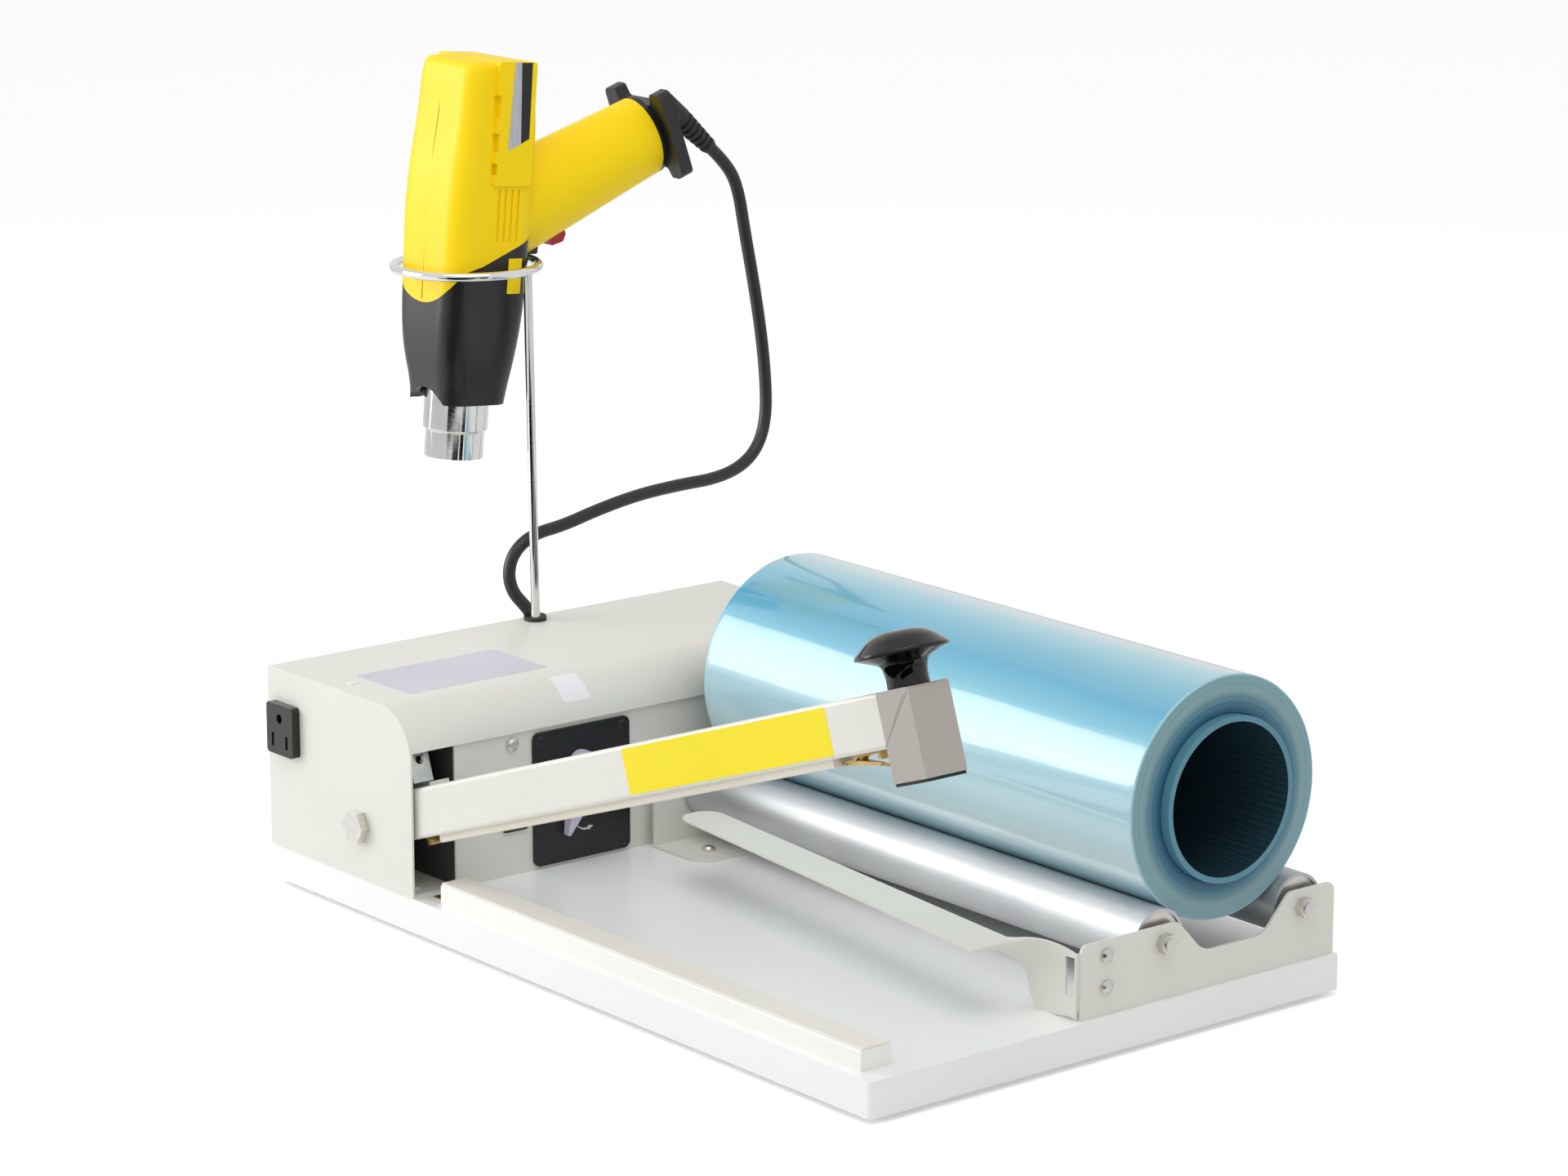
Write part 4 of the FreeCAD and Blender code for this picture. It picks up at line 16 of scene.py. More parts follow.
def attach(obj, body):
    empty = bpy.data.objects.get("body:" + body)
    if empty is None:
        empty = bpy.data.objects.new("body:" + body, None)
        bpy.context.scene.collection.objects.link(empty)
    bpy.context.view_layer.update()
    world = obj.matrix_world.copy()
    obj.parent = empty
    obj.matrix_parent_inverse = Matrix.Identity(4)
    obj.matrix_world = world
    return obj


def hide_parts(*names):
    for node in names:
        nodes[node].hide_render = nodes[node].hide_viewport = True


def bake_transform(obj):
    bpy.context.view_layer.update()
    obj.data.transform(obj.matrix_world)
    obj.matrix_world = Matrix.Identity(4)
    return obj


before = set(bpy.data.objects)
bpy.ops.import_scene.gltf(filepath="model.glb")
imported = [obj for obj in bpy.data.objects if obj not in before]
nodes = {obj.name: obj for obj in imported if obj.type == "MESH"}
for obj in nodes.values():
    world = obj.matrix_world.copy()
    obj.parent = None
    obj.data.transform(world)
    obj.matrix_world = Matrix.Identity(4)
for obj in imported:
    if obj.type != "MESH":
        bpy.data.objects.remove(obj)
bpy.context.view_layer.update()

print("nodes in the frame:", len(nodes))

# %% [markdown]
# The CAD file is in millimetres and Blender works in metres, so lengths that repeat a
# value of the part's source are written in millimetres and multiplied by MM once.

# %% Lengths and the two tilted frames
MM = 0.001
GUN_CENTRE = (0.0, 275.3, 308.8)
GUN_TILT = math.radians(5.0)
ARM_PIVOT = (163.0, 49.3)
ARM_RAISED = math.radians(19.0)


def on_gun(u, v, w):
    """Points of the hanging gun in metres: u forward, v across, w up its barrel,
    turned by the gun's tilt about the Y axis and moved to the ring's centre."""
    u, v, w = np.broadcast_arrays(u, v, w)
    x = GUN_CENTRE[0] + u * math.cos(GUN_TILT) + w * math.sin(GUN_TILT)
    z = GUN_CENTRE[2] - u * math.sin(GUN_TILT) + w * math.cos(GUN_TILT)
    return np.stack([x, GUN_CENTRE[1] + v, z], axis=-1) * MM


def on_arm(x, s, h):
    """Points of the raised arm in metres: x across, s along the arm from its pivot,
    h above its middle line, turned up by the arm's rest angle."""
    x, s, h = np.broadcast_arrays(x, s, h)
    y = ARM_PIVOT[0] - s * math.cos(ARM_RAISED) + h * math.sin(ARM_RAISED)
    z = ARM_PIVOT[1] + s * math.sin(ARM_RAISED) + h * math.cos(ARM_RAISED)
    return np.stack([x, y, z], axis=-1) * MM


print("gun centre", on_gun(0, 0, 0), "arm pivot", on_arm(0, 0, 0))

# %% [markdown]
# The camera stands where the photographer stood: to the left and in front of the
# machine, a little above it, with a long lens. The place and the lens come from fitting
# the board's corners, the roll and the box to the picture of 1920 by 1440 pixels.

# %% Camera
EYE = Vector((-1.4896, -1.8307, 0.7524))
AHEAD = Vector((0.6129, 0.7545, -0.2348))
SENSOR_WIDTH = 36.0
IMAGE_PIXELS = 1920
FOCAL_PIXELS = 5945.32
camera = bpy.data.objects.new("camera", bpy.data.cameras.new("camera"))
bpy.context.scene.collection.objects.link(camera)
camera.data.sensor_width = SENSOR_WIDTH
camera.data.sensor_fit = "HORIZONTAL"
camera.data.lens = FOCAL_PIXELS / IMAGE_PIXELS * SENSOR_WIDTH
camera.data.clip_end = 30.0
camera.matrix_world = Matrix.Translation(EYE) @ AHEAD.to_track_quat("-Z", "Y").to_matrix().to_4x4()
bpy.context.scene.camera = camera
print("lens", round(camera.data.lens, 2), "mm")

# %% [markdown]
# The gun's cord is a length of rubber-covered flex. It leaves the strain relief at the
# end of the handle, falls under its own weight, turns back above the box and goes down
# into the grommet beside the rod. A smooth curve with few control points bends as a
# cord does, so it is a NURBS curve of the cord's own route, with a round bevel.

# %% Cord of the gun
CORD_DIAMETER = 0.007
CORD_ROUTE = np.array([
    (168.0, 275.3, 357.0), (180.1, 275.3, 346.56), (187.9, 275.2, 332.5),
    (192.4, 274.8, 306.9), (198.0, 273.8, 277.5), (202.0, 272.2, 248.5),
    (203.2, 270.2, 226.0), (202.4, 268.0, 203.5), (195.5, 265.4, 187.0),
    (181.5, 262.4, 177.0), (160.0, 259.2, 172.8), (131.0, 256.6, 173.4),
    (101.0, 254.6, 172.4), (72.0, 252.6, 168.6), (46.0, 251.0, 163.4),
    (24.5, 248.7, 162.2), (12.6, 249.8, 154.6), (7.5, 249.5, 143.7),
    (8.2, 246.7, 132.5), (14.4, 242.0, 123.9), (17.7, 239.5, 117.6),
]) * MM


def cord_curve(name, route, diameter):
    """A NURBS curve of order 3 whose control points are the route, which starts and
    ends on its first and last point. Its thickness is the points' radius times a bevel
    depth of 1, because Blender adds the points' radius to the curve's box."""
    data = bpy.data.curves.new(name, "CURVE")
    data.dimensions = "3D"
    data.bevel_depth = 1.0
    data.bevel_resolution = 6
    data.use_fill_caps = True
    data.resolution_u = 10
    data.render_resolution_u = 10
    spline = data.splines.new("NURBS")
    spline.points.add(len(route) - 1)
    spline.points.foreach_set("co", np.c_[route, np.ones(len(route))].ravel())
    spline.points.foreach_set("radius", np.full(len(route), diameter / 2))
    spline.order_u = 3
    spline.use_endpoint_u = True
    curve = bpy.data.objects.new(name, data)
    bpy.context.scene.collection.objects.link(curve)
    return curve


gun_cord = cord_curve("gun_cord_flex", CORD_ROUTE, CORD_DIAMETER)
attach(gun_cord, "machine")
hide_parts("gun_cord")
print("cord control points:", len(CORD_ROUTE))

# %% [markdown]
# A finish is a small network of shader nodes. Written as Python sums it stays readable:
# a Socket wraps one output of a node, and a sum or product of sockets adds the Math
# nodes that work it out. A Finish holds the material and makes every other node.

# %% Shader sums
class Socket:
    """One node output in a finish. Its sums, products and powers are Math nodes."""

    def __init__(self, finish, output):
        self.finish = finish
        self.output = output

    def maths(self, operation, first, second):
        return self.finish.maths(operation, first, second)

    def __add__(self, other):
        return self.maths("ADD", self, other)

    def __sub__(self, other):
        return self.maths("SUBTRACT", self, other)

    def __rsub__(self, other):
        return self.maths("SUBTRACT", other, self)

    def __mul__(self, other):
        return self.maths("MULTIPLY", self, other)

    def __truediv__(self, other):
        return self.maths("DIVIDE", self, other)

    def __rtruediv__(self, other):
        return self.maths("DIVIDE", other, self)

    def __pow__(self, other):
        return self.maths("POWER", self, other)

    __radd__ = __add__
    __rmul__ = __mul__


class Finish:
    """A material with one Principled shader. Constants go on the shader's own sockets
    and only what changes over the surface is linked."""

    def __init__(self, name, **constants):
        self.material = bpy.data.materials.new(name)
        self.material.use_nodes = True
        self.tree = self.material.node_tree
        self.shader = self.tree.nodes["Principled BSDF"]
        self.set(**constants)

    def node(self, kind, settings=None, *values, out=0, **named):
        """Adds one node: its settings first, then its sockets by place or by name.
        A value of None leaves the socket at that place as it is."""
        made = self.tree.nodes.new("ShaderNode" + kind)
        for key, value in (settings or {}).items():
            if key == "stops":
                for stop, (place, colour) in zip(made.color_ramp.elements, value):
                    stop.position, stop.color = place, (*colour, 1.0)
                for place, colour in value[2:]:
                    made.color_ramp.elements.new(place).color = (*colour, 1.0)
            else:
                setattr(made, key, value)
        for place, value in enumerate(values):
            if value is not None:
                self.feed(made.inputs[place], value)
        for key, value in named.items():
            self.feed(made.inputs[key.replace("_", " ")], value)
        return Socket(self, made.outputs[out])

    def maths(self, operation, first, second):
        return self.node("Math", {"operation": operation}, first, second)

    def feed(self, socket, value):
        """Links a Socket, or sets a number, a colour of three parts or a vector."""
        if isinstance(value, Socket):
            self.tree.links.new(value.output, socket)
        elif socket.type == "RGBA" and len(value) == 3:
            socket.default_value = (*value, 1.0)
        else:
            socket.default_value = value

    def set(self, **values):
        """Feeds the shader, with the sockets' names in words: Base_Color, Roughness."""
        for key, value in values.items():
            self.feed(self.shader.inputs[key.replace("_", " ")], value)
        return self

    def place(self):
        """Where the point is on the machine, in metres."""
        return self.node("TexCoord", out=3)

    def axes(self):
        """The point's x, y and z."""
        split = self.node("SeparateXYZ", None, self.place()).output.node
        return [Socket(self, output) for output in split.outputs]

    def noise(self, scale, detail=2.0, stretch=(1.0, 1.0, 1.0)):
        """Smooth random values from 0 to 1, this many grains in a metre."""
        where = self.node("Mapping", None, Vector=self.place(), Scale=stretch)
        return self.node("TexNoise", None, Vector=where, Scale=scale, Detail=detail)

    def ramp(self, value, *stops):
        """A colour that runs through the stops as the value goes from 0 to 1."""
        return self.node("ValToRGB", {"stops": stops}, value)

    def fade(self, value, low, high):
        """0 below low, 1 above high and a straight slope between."""
        return self.node("MapRange", {"clamp": True}, value, low, high)

    def blend(self, amount, first, second):
        """The first colour where the amount is 0, the second where it is 1."""
        sides = (amount, None, None, None, None, None, first, second)
        return self.node("Mix", {"data_type": "RGBA"}, *sides, out=2)

    def relief(self, height, depth):
        """A bump of this depth in metres where the height goes from 0 to 1."""
        normal = self.node("Bump", None, Strength=1.0, Distance=depth, Height=height)
        return self.set(Normal=normal)


def finish_nodes(finish, *names):
    """Gives CAD nodes this finish in their own material slots."""
    for name in names:
        slots = nodes[name].material_slots
        if not slots:
            nodes[name].data.materials.append(finish.material)
        for slot in slots:
            slot.material = finish.material
    print(finish.material.name, "on", ", ".join(names))


def worn(finish, colour, spread, grain, rough, depth, spot=None):
    """The base of most finishes: the colour drifts by spread over a hand's width, fine
    grain, so many in a metre, gives relief of this depth in metres, and roughness wanders
    between two values. A spot colour adds small pale or dark specks."""
    smooth, dull = rough
    drift = finish.noise(9.0, 3.0)
    fine = finish.noise(grain, 2.0)
    darker = tuple(c * (1.0 - spread) for c in colour)
    shade = finish.ramp(drift, (0.3, darker), (0.7, colour))
    if spot is not None:
        specks = finish.noise(grain * 0.35, 4.0)
        shade = finish.blend(finish.fade(specks, 0.66, 0.74) * 0.5, shade, spot)
    finish.set(Base_Color=shade)
    finish.set(Roughness=smooth + (dull - smooth) * finish.noise(30.0, 2.0))
    finish.relief(fine, depth)
    return finish


print("shader tools ready")

# %% [markdown]
# The studio is a plain pale floor under soft light. The white background is a world
# that cameras, mirrors and glass see at a strength of 1, while the light that falls on
# the object is weaker, so pale sheet metal keeps its grey. One large soft box stands to
# the left and behind. It is the main light of every left face, and glossy film shows it
# as the white streak along the roll. Black cards, seen only in reflections, stand where
# a studio is dark: chrome and polished plastic look like themselves only with something
# dark to mirror.

# %% Studio
WORLD_FILL = 0.85
ROLL_MIDDLE = (0.05, -0.07, 0.13)
LEFT_BOX = (-1.08, 1.08, 0.63)


def paint(red, green, blue):
    """A colour in 0 to 255 steps, as a screen shows it, turned to linear light."""
    screen = np.array([red, green, blue]) / 255.0
    linear = np.where(screen > 0.04045, ((screen + 0.055) / 1.055) ** 2.4, screen / 12.92)
    return tuple(float(c) for c in linear)


def world_light():
    """A white world: full strength for camera, mirror and glass rays, less as a lamp."""
    world = bpy.data.worlds.new("studio")
    world.use_nodes = True
    tree = world.node_tree
    tree.nodes.clear()
    path = tree.nodes.new("ShaderNodeLightPath")
    seen = path.outputs["Is Camera Ray"]
    for name in ("Is Glossy Ray", "Is Transmission Ray"):
        either = tree.nodes.new("ShaderNodeMath")
        either.operation = "MAXIMUM"
        tree.links.new(seen, either.inputs[0])
        tree.links.new(path.outputs[name], either.inputs[1])
        seen = either.outputs[0]
    level = tree.nodes.new("ShaderNodeMapRange")
    level.inputs["To Min"].default_value = WORLD_FILL
    level.inputs["To Max"].default_value = 1.0
    tree.links.new(seen, level.inputs["Value"])
    light = tree.nodes.new("ShaderNodeBackground")
    tree.links.new(level.outputs[0], light.inputs["Strength"])
    output = tree.nodes.new("ShaderNodeOutputWorld")
    tree.links.new(light.outputs[0], output.inputs["Surface"])
    bpy.context.scene.world = world


def aimed(thing, centre, aim):
    """Puts a lamp or card at centre and turns its face to aim, its length near the Y axis."""
    back = (Vector(centre) - Vector(aim)).normalized()
    side = Vector((0.0, 1.0, 0.0)).cross(back).normalized()
    turned = Matrix((side, back.cross(side), back)).transposed().to_4x4()
    thing.matrix_world = Matrix.Translation(centre) @ turned
    bpy.context.scene.collection.objects.link(thing)
    return thing


def soft_box(name, centre, aim, width, length, power, only_gloss=False):
    """A rectangular lamp that the camera doesn't see, or that only mirrors see."""
    lamp = bpy.data.lights.new(name, "AREA")
    lamp.shape = "RECTANGLE"
    lamp.size, lamp.size_y = width, length
    lamp.energy = power
    box = aimed(bpy.data.objects.new(name, lamp), centre, aim)
    box.visible_camera = False
    box.visible_diffuse = not only_gloss
    return box


def black_card(name, centre, aim, width, length):
    """A black sheet that only reflections see."""
    half = np.array([(-1, -1, 0), (1, -1, 0), (1, 1, 0), (-1, 1, 0)]) * (width / 2, length / 2, 0)
    mesh = bpy.data.meshes.new(name)
    mesh.from_pydata(half.tolist(), [], [(0, 1, 2, 3)])
    black = bpy.data.materials.new(name)
    black.use_nodes = True
    black.node_tree.nodes["Principled BSDF"].inputs["Base Color"].default_value = (0, 0, 0, 1)
    black.node_tree.nodes["Principled BSDF"].inputs["Specular IOR Level"].default_value = 0
    mesh.materials.append(black)
    card = aimed(bpy.data.objects.new(name, mesh), centre, aim)
    card.visible_camera = False
    card.visible_diffuse = False
    card.visible_shadow = False
    card.visible_transmission = False
    return card


bpy.context.scene.view_settings.view_transform = "Standard"
world_light()
soft_box("left_wall", LEFT_BOX, ROLL_MIDDLE, 0.95, 0.9, 8.5)
soft_box("left_sheen", LEFT_BOX, ROLL_MIDDLE, 0.95, 0.9, 20.0, True)
soft_box("front_top", (-0.4, -0.4, 1.65), (0.0, 0.0, 0.1), 1.2, 1.2, 9.0)
black_card("dark_floor_front", (-0.68, -0.82, 0.01), (-0.68, -0.82, 1.0), 1.28, 1.08)
black_card("dark_wall", (-1.35, -1.75, 0.28), (0.0, 0.2, 0.28), 0.6, 2.9)
black_card("dark_floor_left", (-0.76, -0.08, 0.01), (-0.76, -0.08, 1.0), 1.12, 0.4)
print("world, lamps and cards set")

# %% [markdown]
# The floor is one very large matt sheet that takes the soft shadow under the board. A
# matt sheet alone would come out grey under lamps this weak, so it also glows a little.
# Only the camera sees the glow, so it puts no light on the object.

# %% Floor
FLOOR_GLOW = 0.34
FLOOR_WHITE = (0.9, 0.9, 0.9, 1.0)
FLOOR_CORNERS = ((-6, -4, 0), (8, -4, 0), (8, 12, 0), (-6, 12, 0))
floor_mesh = bpy.data.meshes.new("floor")
floor_mesh.from_pydata(FLOOR_CORNERS, [], [(0, 1, 2, 3)])
floor = bpy.data.objects.new("floor", floor_mesh)
bpy.context.scene.collection.objects.link(floor)
floor_finish = bpy.data.materials.new("pale_floor")
floor_finish.use_nodes = True
tree = floor_finish.node_tree
tree.nodes.clear()
path = tree.nodes.new("ShaderNodeLightPath")
glow = tree.nodes.new("ShaderNodeEmission")
lift = tree.nodes.new("ShaderNodeMath")
lift.operation = "MULTIPLY"
lift.inputs[1].default_value = FLOOR_GLOW
tree.links.new(path.outputs["Is Camera Ray"], lift.inputs[0])
tree.links.new(lift.outputs[0], glow.inputs["Strength"])
matt = tree.nodes.new("ShaderNodeBsdfDiffuse")
matt.inputs["Color"].default_value = FLOOR_WHITE
both = tree.nodes.new("ShaderNodeAddShader")
tree.links.new(glow.outputs[0], both.inputs[0])
tree.links.new(matt.outputs[0], both.inputs[1])
output = tree.nodes.new("ShaderNodeOutputMaterial")
tree.links.new(both.outputs[0], output.inputs["Surface"])
floor_mesh.materials.append(floor_finish)

# %% [markdown]
# New pieces are surfaces: a grid of points from a formula, joined by quads. Closed ones
# have their seams and ends joined, and their faces turned outward.

# %% Surface tools
CORNER_ROWS = 7
STRAIGHT_ROWS = 24


def surface(name, points, finishes, body, wrap=(False, True), smooth=True):
    """A closed piece from a grid of points in metres. Quads join neighbours and go round
    where the grid closes on itself; rims that stay open get one face each."""
    rows, columns = points.shape[:2]
    index = np.arange(rows * columns).reshape(rows, columns)
    lids = [] if wrap[0] else [index[0].tolist(), index[-1].tolist()]
    if wrap[0]:
        index = np.concatenate([index, index[:1]])
    if wrap[1]:
        index = np.concatenate([index, index[:, :1]], axis=1)
    quads = np.stack([index[:-1, :-1], index[:-1, 1:], index[1:, 1:], index[1:, :-1]], axis=-1)
    mesh = bpy.data.meshes.new(name)
    mesh.from_pydata(points.reshape(-1, 3).tolist(), [], quads.reshape(-1, 4).tolist() + lids)
    shape = bmesh.new()
    shape.from_mesh(mesh)
    bmesh.ops.remove_doubles(shape, verts=shape.verts, dist=1e-7)
    bmesh.ops.recalc_face_normals(shape, faces=shape.faces)
    shape.to_mesh(mesh)
    shape.free()
    mesh.polygons.foreach_set("use_smooth", np.full(len(mesh.polygons), smooth))
    piece = bpy.data.objects.new(name, mesh)
    bpy.context.scene.collection.objects.link(piece)
    for finish in finishes:
        mesh.materials.append(finish.material)
    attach(piece, body)
    print(name, "faces", len(mesh.polygons))
    return piece


def rounded(length, radius, rows):
    """Places along a label from 0 to its length, and how far in its side is at each one:
    a quarter circle of the corner's radius at both ends."""
    turn = np.linspace(0, math.pi / 2, rows)
    start = radius * (1 - np.cos(turn))
    along = np.concatenate([start, length - start[::-1]])
    inward = radius * (1 - np.sin(turn))
    return along, np.concatenate([inward, inward[::-1]])


def label(name, place, size, corner, thickness, finish, body, columns=9):
    """A thin sheet with round corners. The place function turns distances along, across
    and out of the sheet into points, so that it can follow a bent surface."""
    along, inward = rounded(size[0], corner, CORNER_ROWS)
    straight = np.linspace(corner, size[0] - corner, STRAIGHT_ROWS)[1:-1]
    along = np.concatenate([along[:CORNER_ROWS], straight, along[CORNER_ROWS:]])
    inward = np.insert(inward, CORNER_ROWS, np.zeros_like(straight))
    across = np.linspace(0, 1, columns)
    across = inward[:, None] + across[None, :] * (size[1] - 2 * inward[:, None])
    along = np.broadcast_to(along[:, None], across.shape)
    top = place(along, across, np.full_like(across, thickness))
    low = place(along, across, np.zeros_like(across))
    loop = np.concatenate([top, low[:, ::-1]], axis=1)
    return surface(name, loop, [finish], body, smooth=False)


print("surface tools ready")

# %% [markdown]
# Painted sheet metal. The box, the arm, the cradle and the separator are folded from
# steel sheet and powder coated in a warm light grey. Powder coat melts into an even
# skin with a faint orange peel about a millimetre across, so the finish has that relief,
# a slow drift of tone and a satin gloss.

# %% Powder-coated sheet
GREY = paint(226, 225, 217)


def powder_coat(name, colour):
    coat = Finish(name, IOR=1.45)
    worn(coat, colour, spread=0.05, grain=900.0, rough=(0.34, 0.46), depth=0.00006)
    return coat


grey_coat = powder_coat("grey_powder_coat", GREY)
finish_nodes(
    grey_coat, "box_floor", "end_plate_left", "end_plate_right", "box_hood", "rear_panel",
    "front_panel", "cradle_front_plate", "cradle_rear_plate", "film_separator", "arm_tube",
)
# Painted shade: the end block gets a darker copy of the arm's grey coat, for the weaker light at
# the arm's front end.
block_shaded_coat = powder_coat("block_coat_painted_shade", paint(178, 172, 165))
finish_nodes(block_shaded_coat, "arm_end_block")
bay_coat = powder_coat("bay_powder_coat", paint(70, 69, 68))
finish_nodes(bay_coat, "arm_bay_wall")

# %% [markdown]
# The board is chipboard with a white melamine face. The face is a thin paper print under
# resin: very even, a little glossy, with a fine stipple and light scuffs from the film.

# %% White melamine
melamine = Finish("white_melamine", IOR=1.5)
worn(melamine, paint(244, 244, 244), spread=0.03, grain=1400.0, rough=(0.24, 0.38), depth=0.00003)
finish_nodes(melamine, "base_board")

# %% [markdown]
# The seal bed is a white heat-proof bar with a beige silicone pad under a smooth cover.

# %% Seal bed
bar_white = Finish("white_bar", IOR=1.46)
worn(bar_white, paint(247, 247, 243), spread=0.04, grain=700.0, rough=(0.30, 0.45), depth=0.00005)
finish_nodes(bar_white, "seal_bed_bar")
pad_cover = Finish("pad_cover", IOR=1.4)
worn(
    pad_cover, paint(236, 233, 222), spread=0.06, grain=1800.0, rough=(0.42, 0.6), depth=0.00008,
    spot=paint(214, 205, 186),
)
finish_nodes(pad_cover, "seal_bed_pad")

# %% [markdown]
# Rubber and moulded black plastic. Both are near black; plastic has a fine spark-eroded
# grain and a broad soft highlight, rubber is duller and a little dusty.

# %% Black parts
rubber = Finish("black_rubber", IOR=1.5)
worn(rubber, paint(40, 40, 40), spread=0.25, grain=1200.0, rough=(0.55, 0.8), depth=0.00008)
finish_nodes(rubber, "rubber_feet", "holder_grommet", "arm_bumper", "gun_strain_relief")
black_plastic = Finish("black_moulding", IOR=1.5)
worn(black_plastic, paint(27, 27, 28), spread=0.15, grain=1700.0, rough=(0.24, 0.38), depth=0.00005)
finish_nodes(
    black_plastic, "power_outlet", "mains_gland", "switch_body", "microswitch_body",
    "gun_nose_guard", "gun_end_cap", "gun_fan",
)
knob_gloss = Finish("polished_phenolic", IOR=1.42, Coat_Weight=0.15, Coat_Roughness=0.03)
worn(knob_gloss, paint(9, 9, 10), spread=0.3, grain=300.0, rough=(0.05, 0.12), depth=0.000004)
finish_nodes(knob_gloss, "handle_knob")
plate_print = Finish("black_plate_print", IOR=1.48)
worn(plate_print, paint(26, 26, 27), spread=0.15, grain=1500.0, rough=(0.22, 0.34), depth=0.00002)
finish_nodes(plate_print, "control_plate", "plate_rivets")
flex = Finish("cord_rubber", IOR=1.5)
worn(flex, paint(30, 30, 31), spread=0.2, grain=1500.0, rough=(0.34, 0.5), depth=0.00005)
gun_cord.data.materials.append(flex.material)

# %% [markdown]
# Bare metals. Zinc plate is bright with a faint blue and yellow passivation, brass strip
# is warm and brushed, chrome is a clean mirror, and the rollers are drawn aluminium with
# fine lines along the tube.

# %% Metals
zinc = Finish("zinc_plate", Metallic=1.0)
tint = zinc.ramp(zinc.noise(160.0, 3.0), (0.35, paint(205, 207, 210)), (0.65, paint(226, 221, 206)))
zinc.set(Base_Color=tint, Roughness=0.22 + 0.2 * zinc.noise(400.0, 3.0))
zinc.relief(zinc.noise(2500.0), 0.00002)
finish_nodes(
    zinc, "pan_screws", "pivot_bolt", "separator_screws", "roller_axles",
    "axle_nuts", "seal_wire", "spring_bracket", "microswitch_lever", "roller_left_bearings",
    "roller_right_bearings", "gun_motor",
)
brass = Finish("brass_strip", Metallic=1.0)
brass.set(
    Base_Color=brass.ramp(
        brass.noise(120.0, 3.0), (0.3, paint(196, 160, 96)), (0.7, paint(226, 200, 140))
    ),
    Roughness=0.24 + 0.2 * brass.noise(300.0, 2.0, (1.0, 0.05, 1.0)),
)
brass.relief(brass.noise(3000.0, 1.0, (1.0, 0.04, 1.0)), 0.00002)
finish_nodes(brass, "bed_rear_clip", "wire_clips")
chrome = Finish("bright_chrome", Metallic=1.0)
chrome.set(
    Base_Color=chrome.ramp(
        chrome.noise(25.0, 2.0), (0.3, paint(222, 222, 220)), (0.7, paint(240, 240, 238))
    ),
    Roughness=0.03 + 0.06 * chrome.noise(220.0, 3.0),
)
chrome.relief(chrome.noise(600.0, 1.0), 0.000004)
finish_nodes(chrome, "holder_ring", "gun_nozzle")
drawn = Finish("drawn_aluminium", Metallic=0.75)
lines = drawn.noise(1600.0, 2.0, (1.0, 0.02, 1.0))
drawn.set(
    Base_Color=drawn.ramp(
        drawn.noise(14.0, 3.0), (0.3, paint(188, 190, 193)), (0.7, paint(206, 208, 210))
    ),
    Roughness=0.4 + 0.16 * lines,
)
drawn.relief(lines, 0.00002)
finish_nodes(drawn, "roller_left", "roller_right")

# %% [markdown]
# Coloured mouldings: the yellow gun shell, the red trigger and the pale control knobs
# are injection moulded. A fine grain from the mould breaks up the highlight.

# %% Coloured mouldings
yellow = Finish("yellow_shell", IOR=1.34, Specular_IOR_Level=0.35)
worn(yellow, paint(255, 219, 12), spread=0.04, grain=1500.0, rough=(0.36, 0.52), depth=0.00005)
finish_nodes(yellow, "gun_shell_left", "gun_shell_right")
red = Finish("red_trigger", IOR=1.5)
worn(red, paint(176, 24, 40), spread=0.1, grain=1500.0, rough=(0.3, 0.42), depth=0.00004)
finish_nodes(red, "gun_switch")
pale_knob = Finish("pale_knob", IOR=1.5)
worn(pale_knob, paint(206, 203, 222), spread=0.06, grain=1500.0, rough=(0.3, 0.42), depth=0.00004)
finish_nodes(pale_knob, "timer_knob", "switch_rocker")

# %% [markdown]
# What is inside the box and the gun is seen through the openings and when the hood is
# off: stacked steel sheets, enamelled copper, a green board, a ceramic heater and the
# phenolic strip that carries the sealing wire.

# %% Inner finishes
laminations = Finish("steel_laminations", Metallic=0.9)
sheets = laminations.node("TexWave", {"bands_direction": "Y"}, laminations.place(), 300.0)
laminations.set(
    Base_Color=laminations.ramp(sheets, (0.2, paint(70, 72, 76)), (0.8, paint(128, 130, 134))),
    Roughness=0.4 + 0.2 * laminations.noise(300.0),
)
laminations.relief(sheets, 0.0001)
finish_nodes(laminations, "transformer_core")
copper = Finish("enamelled_copper", Metallic=0.8, Coat_Weight=0.5)
turns = copper.node("TexWave", {"bands_direction": "Z"}, copper.place(), 300.0, 0.4)
copper.set(
    Base_Color=copper.ramp(turns, (0.1, paint(120, 52, 26)), (0.8, paint(204, 120, 66))),
    Roughness=0.25 + 0.2 * copper.noise(300.0),
)
copper.relief(turns, 0.0002)
finish_nodes(copper, "transformer_coil")
circuit = Finish("circuit_board", IOR=1.5)
tracks = circuit.node("TexBrick", None, circuit.place(), paint(22, 96, 52), paint(16, 78, 42))
circuit.set(Base_Color=tracks, Roughness=0.3 + 0.2 * circuit.noise(200.0))
circuit.relief(circuit.noise(900.0), 0.00005)
finish_nodes(circuit, "timer_board")
ceramic = Finish("heater_ceramic", IOR=1.5)
worn(
    ceramic, paint(228, 224, 214), spread=0.1, grain=800.0, rough=(0.5, 0.7), depth=0.0001,
    spot=paint(190, 170, 140),
)
finish_nodes(ceramic, "gun_heater")
phenolic = Finish("carrier_strip", IOR=1.5)
worn(
    phenolic, paint(232, 226, 212), spread=0.08, grain=900.0, rough=(0.4, 0.6), depth=0.00008,
    spot=paint(206, 190, 160),
)
finish_nodes(phenolic, "element_carrier")

